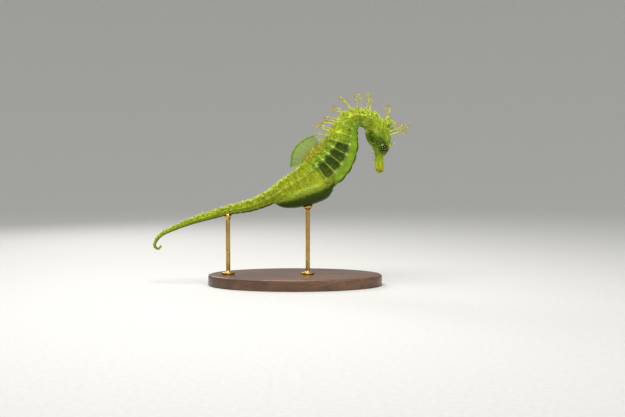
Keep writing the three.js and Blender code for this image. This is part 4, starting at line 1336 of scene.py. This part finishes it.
# %% Brow, crown and throat
# Angle and length of the long brow filament and of the one above it, right and left.
BROWS = {-1: ((23, 13.8), (26, 9.6)), 1: ((34, 11.0), (44, 8.0))}
for side, (brow, upper) in BROWS.items():
    filament((50.2, side * 2.4, 82.4), brow[0], side * 12, brow[1], bow=7, forks=3)
    filament((51.0, side * 1.8, 84.2), upper[0], side * 6, upper[1], bow=5, forks=1)
    filament((51.6, side * 3.2, 77.2), 12, side * 16, 3.2, bow=4, forks=0)
    # A loose strand that droops near the ends of the brow filaments.
    hanging = np.array([(58.3, side * 4.2, 84.6), (59.8, side * 4.3, 82.8), (61.0, side * 4.4, 84.9)])
    for start, end in zip(hanging[:-1], hanging[1:]):
        grow(curved(start, (start + end) / 2 + [0.15, 0, 0.05], end, 8), 0.2, 0.13, 0.9)
filament((49.9, -0.9, 90.0), 94, -8, 9.5, bow=6)
filament((50.6, 0.9, 90.6), 81, 8, 9.0, bow=6)

# Short feelers under the throat, to the right and the left by turns.
FEELERS = {"count": 6, "ahead": 3.2, "spacing": 1.4, "inset": 0.8, "aside": 0.6}
FEELERS |= {"length": 2.4, "slant": 0.4}
for i in range(FEELERS["count"]):
    s = np.array([KNOTS[SNOUT_ROOT] + FEELERS["ahead"] - FEELERS["spacing"] * i])
    point, forward, back = (part[0] for part in midline(s))
    aside = FEELERS["aside"] * (1 if i % 2 else -1)
    root = point - back * FEELERS["inset"] * MIDLINE["deep"](s)[0] + [0, aside, 0]
    tip = root - back * FEELERS["length"] + forward * FEELERS["slant"]
    grow(curved(root, (root + tip) / 2 + forward * 0.15, tip, 9), 0.3, 0.15, 0.4)
print(f"{len(fringe['solids'])} strands in the fringe")


# %% Finish of the filaments
# Soft flesh with no bone in it: light passes some way through. The sides that face up and the outer
# ends have browned, in patches of about 1.6 mm, so no two filaments look quite alike.
frond, tree, shader = new_finish("fleshy skin filament")
band = speckle(tree, 1.6, 0.4, 0.6)
facing = add_node(tree, "NewGeometry", {}, "Normal")
upward = add_node(tree, "SeparateXYZ", {0: facing}, 2)
reach = add_node(tree, "Attribute", {}, "Fac", attribute_name="reach")
rusty = add_node(tree, "Math", {0: band, 1: 0.4}, operation="ADD", use_clamp=True)
for value, low, high in ((upward, -0.3, 0.5), (reach, 0.05, 0.6)):
    share = add_node(tree, "MapRange", {"Value": value, "From Min": low, "From Max": high})
    rusty = add_node(tree, "Math", {0: rusty, 1: share}, operation="MULTIPLY", use_clamp=True)
soft = {"Height": speckle(tree, 0.3, 0.2, 0.8), "Strength": 0.3, "Distance": 0.05 * MM}
feed(tree, shader, {
    "Base Color": layered(tree, "ccdc3a", ("a8bc26", band, 1), ("9a4f1a", rusty, 1)),
    "Roughness": 0.4,
    "Normal": add_node(tree, "Bump", soft),
    "Subsurface Weight": 0.2,
    "Subsurface Radius": (0.6, 0.7, 0.2),
    "Subsurface Scale": 0.8 * MM,
})

fringe_points, fringe_faces = gather(fringe["solids"])
fringe_marks = {"reach": np.concatenate(fringe["reach"])}
make_piece("skin_filaments", fringe_points, fringe_faces, frond, "crown_hide", fringe_marks)


# %% [markdown]
# ## Fuzz
#
# Along the top of the tail, over the nape and on the neck the skin grows hundreds of small bristles,
# down to a few tenths of a millimetre, and longer tufts of five. They lean towards the tail. A hair
# system would do for fur, but a museum model has each one cast, so every bristle is a small solid.

# %% Bristles
BRISTLES = {"count": 1500, "apart": 0.5, "splay": 0.22, "ripeness": 0.25}
TUFTS = {"count": 300, "apart": 1.4, "splay": 0.35, "in_each": 5}
bristle_chance = strongest(
    0.9 * on_tail * step(skin_up, 0.5, 0.85),
    0.8 * on_neck * step(skin_up, 0.1, 0.6),
    0.8 * on_head * step(z, 81.0, 86.0) * step(x, 52.0, 47.0),
    0.7 * on_trunk * step(skin_up, 0.55, 0.8),
    0.1 * (1 - below) * off_pouch * (1 - on_flank) * (1 - 0.8 * on_head),
) * step(skin_s, 3.0, 14.0) * (1 - 0.9 * on_head * step(from_eye, 5.0, 3.0))
bristle_chance *= past(SNOUT_ROOT, 1, -3)
spikes, spike_reach = [], []
_, skin_forward, _ = midline(skin_s)
ALONG_SPIKE = np.array([-0.2, 0.15, 0.6, 1.0])
SPIKE_RADII = np.array([0.16, 0.13, 0.085, 0.04])


def bristle(index, size, splay, ripeness):
    """One spike on a point of the skin, which leans towards the tail. A ripe one has a rusty tip."""
    lean = skin_forward[index] * dice.uniform(0.1, 0.6)
    way = unit(skin_normals[index] - lean + dice.normal(0, splay, 3))
    droop = -skin_forward[index] * 0.12 * size * ALONG_SPIKE[:, None] ** 2
    path = skin_points[index] + way * size * ALONG_SPIKE[:, None] + droop
    spikes.append(tube(path, SPIKE_RADII * (0.7 + 0.5 * size), 5))
    reach = ripeness * np.clip(ALONG_SPIKE, 0, 1)
    spike_reach.append(np.concatenate([np.repeat(reach, 5), reach[[0, -1]]]))


for index in scattered(BRISTLES["count"], bristle_chance, BRISTLES["apart"]):
    size = dice.uniform(0.5, 1.15) * (0.7 + 0.8 * bristle_chance[index])
    size = size * (0.45 + 0.55 * step(skin_s[index], 8.0, 40.0))
    bristle(index, size, BRISTLES["splay"], BRISTLES["ripeness"])

tuft_chance = strongest(
    on_neck * step(skin_up, 0.2, 0.7),
    on_head * step(z, 83.0, 88.0),
    0.8 * on_trunk * step(skin_up, 0.65, 0.85),
    on_tail * step(skin_s, 12.0, 30.0) * step(skin_up, 0.6, 0.85),
)
for index in scattered(TUFTS["count"], tuft_chance, TUFTS["apart"]):
    ripeness = 0.25 if on_tail[index] > 0.5 else 0.7
    length = 1.1 + 0.7 * step(skin_s[index], 15.0, 60.0)
    for _ in range(TUFTS["in_each"]):
        bristle(index, length * dice.uniform(0.6, 1.15), TUFTS["splay"], ripeness)
spike_points, spike_faces = gather(spikes)
spike_marks = {"reach": np.concatenate(spike_reach)}
make_piece("bristles", spike_points, spike_faces, frond, "hide", spike_marks)
print(f"{len(spikes)} bristles")


# %% [markdown]
# ## Eyes
#
# Each eye is a dark ball with a thin ring of gold flecks round a large pupil, under a clear bulging
# cornea. It sits deep in its turret, so the rim of skin overlaps its edge. The iris is set back
# behind the cornea, as in life, which gives the eye its depth from every side.

# %% Iris and cornea
# The iris is pigment under a wet film. The film is the cornea here, so the iris itself is matt.
eye_finish, tree, shader = new_finish("dark eye with gold flecks")
iris, pupil = (add_node(tree, "Attribute", {}, "Fac", attribute_name=mark) for mark in ("iris", "pupil"))
cloudy = speckle(tree, 0.7, 0.35, 0.65)
golden = layered(tree, "343c0e", ("9a7c26", speckle(tree, 0.2, 0.46, 0.6), 1))
colour = layered(tree, "141c05", ("2a380c", cloudy, 1), (golden, iris, 1), ("050604", pupil, 1))
feed(tree, shader, {"Base Color": colour, "Roughness": 0.4, "Specular IOR Level": 0.12})

# The cornea is clear, smooth and wet, so it holds one sharp glint and bends what lies behind it.
cornea_finish, tree, shader = new_finish("clear wet cornea")
clear = layered(tree, "f4f8f2", ("ffffff", speckle(tree, 0.9, 0.2, 0.8), 1))
feed(tree, shader, {"Base Color": clear, "Roughness": 0.03, "IOR": 1.376, "Transmission Weight": 1.0})


def arc(centre_r, centre_h, radius, start, end, count=7):
    """An arc of a profile about a centre, between angles from outwards, 0, to upwards, 90."""
    turn = np.radians(np.linspace(start, end, count))
    return [(centre_r + radius * math.cos(t), centre_h + radius * math.sin(t)) for t in turn]


IRIS_EDGE = 52
IRIS_BAND, PUPIL_BAND = (1.25, 1.1), (0.8, 0.7)
back_of_eye = arc(0, 0, EYE["radius"] - 0.03, -90, IRIS_EDGE, 30)
iris_slope = [(1.12, 1.46), (0.95, 1.43), (0.76, 1.4), (0.66, 1.33), (0.4, 1.3), (0, 1.29)]
cornea = arc(0, 0, EYE["radius"] - 0.12, 90, 46, 10) + arc(0, 0, EYE["radius"] + 0.02, 44, 90, 12)
for side, name in ((-1, "right"), (1, "left")):
    centre = [EYE["x"], side * EYE["y"], EYE["z"]]
    points, faces = turned([*back_of_eye, *iris_slope], centre, side)
    off_axis = np.hypot(points[:, 0] - EYE["x"], points[:, 2] - EYE["z"])
    outward = (points[:, 1] - centre[1]) * side > 1.0
    marks = {"iris": step(off_axis, *IRIS_BAND) * outward, "pupil": step(off_axis, *PUPIL_BAND) * outward}
    make_piece(f"eyeball_{name}", points, faces, eye_finish, "eyeball", marks, [f"eye_{name}"])
    points, faces = turned(cornea, centre, side)
    make_piece(f"cornea_{name}", points, faces, cornea_finish, "eyeball")


# %% [markdown]
# ## Fins
#
# A seahorse's fins are fans of fine unbranched rays with clear membrane stretched between them. Each
# fan is one thin closed sheet, thick along the rays and thin between them, with its edge nicked
# between the rays. The dorsal fin is yellow at its fleshy base and has a dark line inside its edge.

# %% A fan of rays
def closed_plate(front, back):
    """Points and faces of a thin closed form between two grids of points."""
    rows, columns = front.shape[:2]
    count = rows * columns
    points = np.concatenate([front.reshape(-1, 3), back.reshape(-1, 3)])
    i, j = np.meshgrid(np.arange(rows - 1), np.arange(columns - 1), indexing="ij")
    a = (i * columns + j).reshape(-1)
    near = np.stack([a, a + 1, a + columns + 1, a + columns], -1)
    side_a = np.arange(columns - 1)
    side_b = np.arange(rows - 1) * columns + columns - 1
    side_c = (rows - 1) * columns + np.arange(columns - 1, 0, -1)
    side_d = np.arange(rows - 1, 0, -1) * columns
    border = np.concatenate([side_a, side_b, side_c, side_d])
    after = np.roll(border, -1)
    rim = np.stack([after, border, border + count, after + count], -1)
    return points, facing_out(points, np.concatenate([near, near[:, ::-1] + count, rim]))


def fan(roots, ways, lengths, rays, thickness, rows=30, ripple=0.0):
    """A fin from the root, direction and length at each column, with rays evenly spaced over it."""
    columns = len(roots)
    share = np.linspace(0, 1, columns)
    on_ray = np.cos(math.pi * share * (rays - 1)) ** 6
    out = np.linspace(0, 1, rows)[:, None]
    reach = out * (lengths * (1 - 0.045 * (1 - on_ray)))[None]
    wave = ripple * out * np.sin(7 * share)[None] + 0.08 * out * np.sin(41 * share)[None]
    across = unit(np.cross(np.gradient(roots, axis=0), ways))
    middle = roots[None] + ways[None] * reach[..., None] + across[None] * wave[..., None]
    web, ray = thickness
    half = 0.5 * (web + (ray * (1 - 0.65 * out) - web) * on_ray[None])
    offset = across[None] * half[..., None]
    points, faces = closed_plate(middle + offset, middle - offset)
    marks = {
        "ray": np.tile(np.broadcast_to(on_ray[None], (rows, columns)).ravel(), 2),
        "out": np.tile(np.broadcast_to(out, (rows, columns)).ravel(), 2),
    }
    return points, faces, marks


# %% Clear membrane
# The membrane is wet and a few hundredths of a millimetre thick, so what lies behind shows through
# it. The rays and the fleshy base are solid. Bands are shares of the way from base to margin.
FIN_BANDS = {"base": (0.5, 0.1), "edge": (0.88, 0.92), "rim": (0.93, 0.96)}


def fin_finish(name, base, web, ray, line, margin):
    """Clear membrane between rays, coloured at its base and just inside its margin."""
    finish, tree, shader = new_finish(name)
    cloud = speckle(tree, 1.4, 0.3, 0.7)
    out, on_ray = (add_node(tree, "Attribute", {}, "Fac", attribute_name=mark) for mark in ("out", "ray"))
    near_base, near_edge, rim = (
        add_node(tree, "MapRange", {"Value": out, "From Min": low, "From Max": high})
        for low, high in FIN_BANDS.values()
    )
    inner_line = add_node(tree, "Math", {0: near_edge, 1: rim}, operation="SUBTRACT", use_clamp=True)
    colour = layered(tree, web, (ray, cloud, 1), (ray, on_ray, 1))
    colour = layered(tree, colour, (layered(tree, base, (ray, cloud, 1)), near_base, 1))
    colour = layered(tree, colour, (line, inner_line, 0.8), (margin, rim, 1))
    solid = near_base
    for part, strength in ((on_ray, 0.7), (near_edge, 0.85)):
        part = add_node(tree, "Math", {0: part, 1: strength}, operation="MULTIPLY", use_clamp=True)
        solid = add_node(tree, "Math", {0: solid, 1: part}, operation="MAXIMUM", use_clamp=True)
    alpha = add_node(tree, "MapRange", {"Value": solid, "To Min": 0.42, "To Max": 1.0})
    feed(tree, shader, {"Base Color": colour, "Alpha": alpha, "Roughness": 0.3})
    return finish


# %% Dorsal fin
DORSAL = {"rays": 19, "columns": 217, "thickness": (0.09, 0.34), "ripple": 0.45}
#                 base,     web,      ray,      line,     margin
DORSAL_COLOURS = ("b98a18", "7a9f1a", "93a82a", "34500a", "6f9a1c")
share = np.linspace(0, 1, DORSAL["columns"])
front, rear = trunk_edge(8) - 1.0, trunk_edge(TRUNK_RINGS + 1) - 0.5
s = front + (rear - front) * share
point, forward, back = midline(s)
roots = point + back * (MIDLINE["deep"](s) * 0.94 - 0.8)[:, None]
angles = np.radians(122 + 62 * share)
ways = np.stack([np.cos(angles), np.zeros_like(angles), np.sin(angles)], -1)
lengths = 7.6 + 0.6 * share + 3.3 * np.sin(math.pi * share)
dorsal_look = fin_finish("clear fin membrane with a yellow base", *DORSAL_COLOURS)
rays, thickness, ripple = DORSAL["rays"], DORSAL["thickness"], DORSAL["ripple"]
points, faces, marks = fan(roots, ways, lengths, rays, thickness, ripple=ripple)
make_piece("dorsal_fan", points, faces, dorsal_look, "fin_membrane", marks, ["dorsal_fin"])


# %% Pectoral fins
PECTORAL = {"rays": 17, "columns": 145, "thickness": (0.07, 0.24), "lean_out": 0.85}
SMALL_FIN_COLOURS = ("8f9a1c", "93a83a", "b4c455", "6f8a22", "b8c850")
small_look = fin_finish("clear fin membrane", *SMALL_FIN_COLOURS)
point, forward, back = (part[0] for part in midline(np.array([KNOTS[CLEITHRUM] - 1.4])))
share = np.linspace(-0.5, 0.5, PECTORAL["columns"])[:, None]
lengths = (5.2 - 3.0 * share**2)[:, 0]
for side, name in ((-1, "right"), (1, "left")):
    out = np.array([0, side, 0])
    roots = point + back * (2.8 * share - 0.6) + out * 3.3
    spread = back * np.sin(share * 2) - forward * np.cos(share * 2)
    ways = spread * math.cos(PECTORAL["lean_out"]) + out * math.sin(PECTORAL["lean_out"])
    points, faces, marks = fan(roots, ways, lengths, PECTORAL["rays"], PECTORAL["thickness"], rows=22)
    replaced = [f"pectoral_fin_{name}"]
    make_piece(f"pectoral_fan_{name}", points, faces, small_look, "fin_membrane", marks, replaced)


# %% Anal fin
ANAL = {"rays": 4, "columns": 49, "thickness": (0.08, 0.26), "length": 3.4}
point, forward, back = (part[0] for part in midline(np.array([KNOTS[VENT] + 1.4])))
share = np.linspace(-0.5, 0.5, ANAL["columns"])[:, None]
roots = point + back * (0.8 - MIDLINE["deep"](KNOTS[VENT])) + forward * 1.8 * share
ways = unit(forward * share * 0.9 - back)
lengths = np.full(ANAL["columns"], ANAL["length"])
points, faces, marks = fan(roots, ways, lengths, ANAL["rays"], ANAL["thickness"], rows=16)
make_piece("anal_fan", points, faces, small_look, "fin_membrane", marks, ["anal_fin"])


# %% [markdown]
# ## The stand
#
# A museum model stands on something quiet. This one has an oval walnut base with a softly rounded
# edge and two slim brass rods. One thick post could carry it, but two slim rods hide less of the
# animal. A rod is turned, with a round foot, and ends in a cup shaped to the pouch or the tail that
# rests in it. The cups are fitted by casting a ray up to the skin.

# %% Walnut base
STAND = {"length": 96, "width": 50, "thick": 6}
# Sawn along the grain, sanded and varnished. The figure runs lengthwise in bands about 6 mm wide, and
# the open pores between the fibres are about 0.7 mm apart. Varnish fills them only in part.
FIGURE_PER_MM, PORES_PER_MM, STRETCH = 0.16, 1.4, 0.12
walnut, tree, shader = new_finish("varnished walnut")
place = add_node(tree, "TexCoord", {}, "Object")
lengthwise = add_node(tree, "Mapping", {"Vector": place, "Scale": (STRETCH, 1.0, 1.0)})
bands = {"Vector": lengthwise, "Scale": FIGURE_PER_MM / MM, "Detail": 4.0, "Distortion": 1.2}
fibres = {"Vector": lengthwise, "Scale": PORES_PER_MM / MM, "Detail": 3.0}
figure, pore = add_node(tree, "TexNoise", bands), add_node(tree, "TexNoise", fibres)
figure = add_node(tree, "MapRange", {"Value": figure, "From Min": 0.35, "From Max": 0.65})
pore = add_node(tree, "MapRange", {"Value": pore, "From Min": 0.5, "From Max": 0.7})
feed(tree, shader, {
    "Base Color": layered(tree, "4a2f1c", ("70492b", figure, 1), ("2e1b0f", pore, 0.6)),
    "Roughness": 0.38,
    "Coat Weight": 0.35,
    "Coat Roughness": 0.18,
    "Normal": add_node(tree, "Bump", {"Height": pore, "Strength": 0.2, "Distance": 0.05 * MM}),
})

half = STAND["length"] / 2
profile = [(0, 0), (20, 0), (40, 0), *arc(half - 0.8, 0.8, 0.8, -90, 0)]
profile += [*arc(half - 1.2, 4.8, 1.2, 0, 90), (40, 6), (20, 6), (0, 6)]
rows = upright(profile, 160, STAND["width"] / STAND["length"])
make_piece("walnut_base", *closed_grid(rows), walnut, "stand_wood", replaced=["stand_base"])


# %% Brass rods
# Turned on a lathe and rubbed down, so it shines softly. Handling has dulled it in patches of 3 mm.
brass, tree, shader = new_finish("satin turned brass")
tarnish = speckle(tree, 3.0, 0.4, 0.7)
feed(tree, shader, {
    "Base Color": layered(tree, "c9a45a", ("a9823e", tarnish, 1)),
    "Metallic": 1.0,
    "Roughness": add_node(tree, "MapRange", {"Value": tarnish, "To Min": 0.22, "To Max": 0.36}),
})

skin_surface = BVHTree.FromPolygons(skin_points.tolist(), skin_faces.tolist())
RODS = {
    "front": {"x": 7.0, "top": 46.5, "cup_radius": 2.6, "cup_height": 5.2},
    "rear": {"x": -37.0, "top": 39.2, "cup_radius": 2.0, "cup_height": 3.0},
}
FOOT = {"radius": 3.6, "thick": 1.2, "rod": 1.2}
CUP_GAP = 0.04


def rod(x, top, cup_radius, cup_height):
    """A turned rod whose cup follows the underside of the animal."""
    floor_of_cup = top - cup_height
    foot = STAND["thick"] + FOOT["thick"]
    profile = [(0, STAND["thick"]), (FOOT["radius"], STAND["thick"])]
    profile += arc(FOOT["radius"] - 0.5, foot - 0.5, 0.5, 0, 90)
    profile += [(FOOT["rod"] + 0.9, foot), (FOOT["rod"] + 0.2, foot + 0.3), (FOOT["rod"], foot + 0.9)]
    profile += [(FOOT["rod"], h) for h in np.linspace(foot + 1.2, floor_of_cup - 0.2, 12)]
    profile += [(FOOT["rod"], floor_of_cup), (FOOT["rod"] + 0.5, floor_of_cup + 0.5)]
    profile += [(cup_radius - 0.2, floor_of_cup + 1.3), (cup_radius, floor_of_cup + 1.7)]
    wall = len(profile)
    profile += [(cup_radius, top), (cup_radius - 0.15, top)]
    profile += [(r, top) for r in np.linspace(cup_radius - 0.4, 0, 8)]
    rows = upright(profile, 48) + [x, 0, 0]
    for point in rows[wall:].reshape(-1, 3):
        hit = skin_surface.ray_cast(Vector((point[0], point[1], floor_of_cup)), Vector((0, 0, 1)))[0]
        if hit:
            point[2] = min(point[2], hit.z - CUP_GAP)
    return closed_grid(rows)


for name, sizes in RODS.items():
    make_piece(f"brass_rod_{name}", *rod(**sizes), brass, "stand_brass", replaced=[f"stand_rod_{name}"])


# %% [markdown]
# ## Sizes and the end
#
# The spans of the solids and of the visual model are printed side by side, axis by axis.
# The visual model has to stay in the box of the solids.

# %% Finish
boxes = {"cad": cad_box, "visual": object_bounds()}
for axis in range(3):
    spans = [(float(box[1][axis]) - float(box[0][axis])) / MM for box in boxes.values()]
    print("xyz"[axis], "span: solids {:.1f}, visual {:.1f} mm".format(*spans))
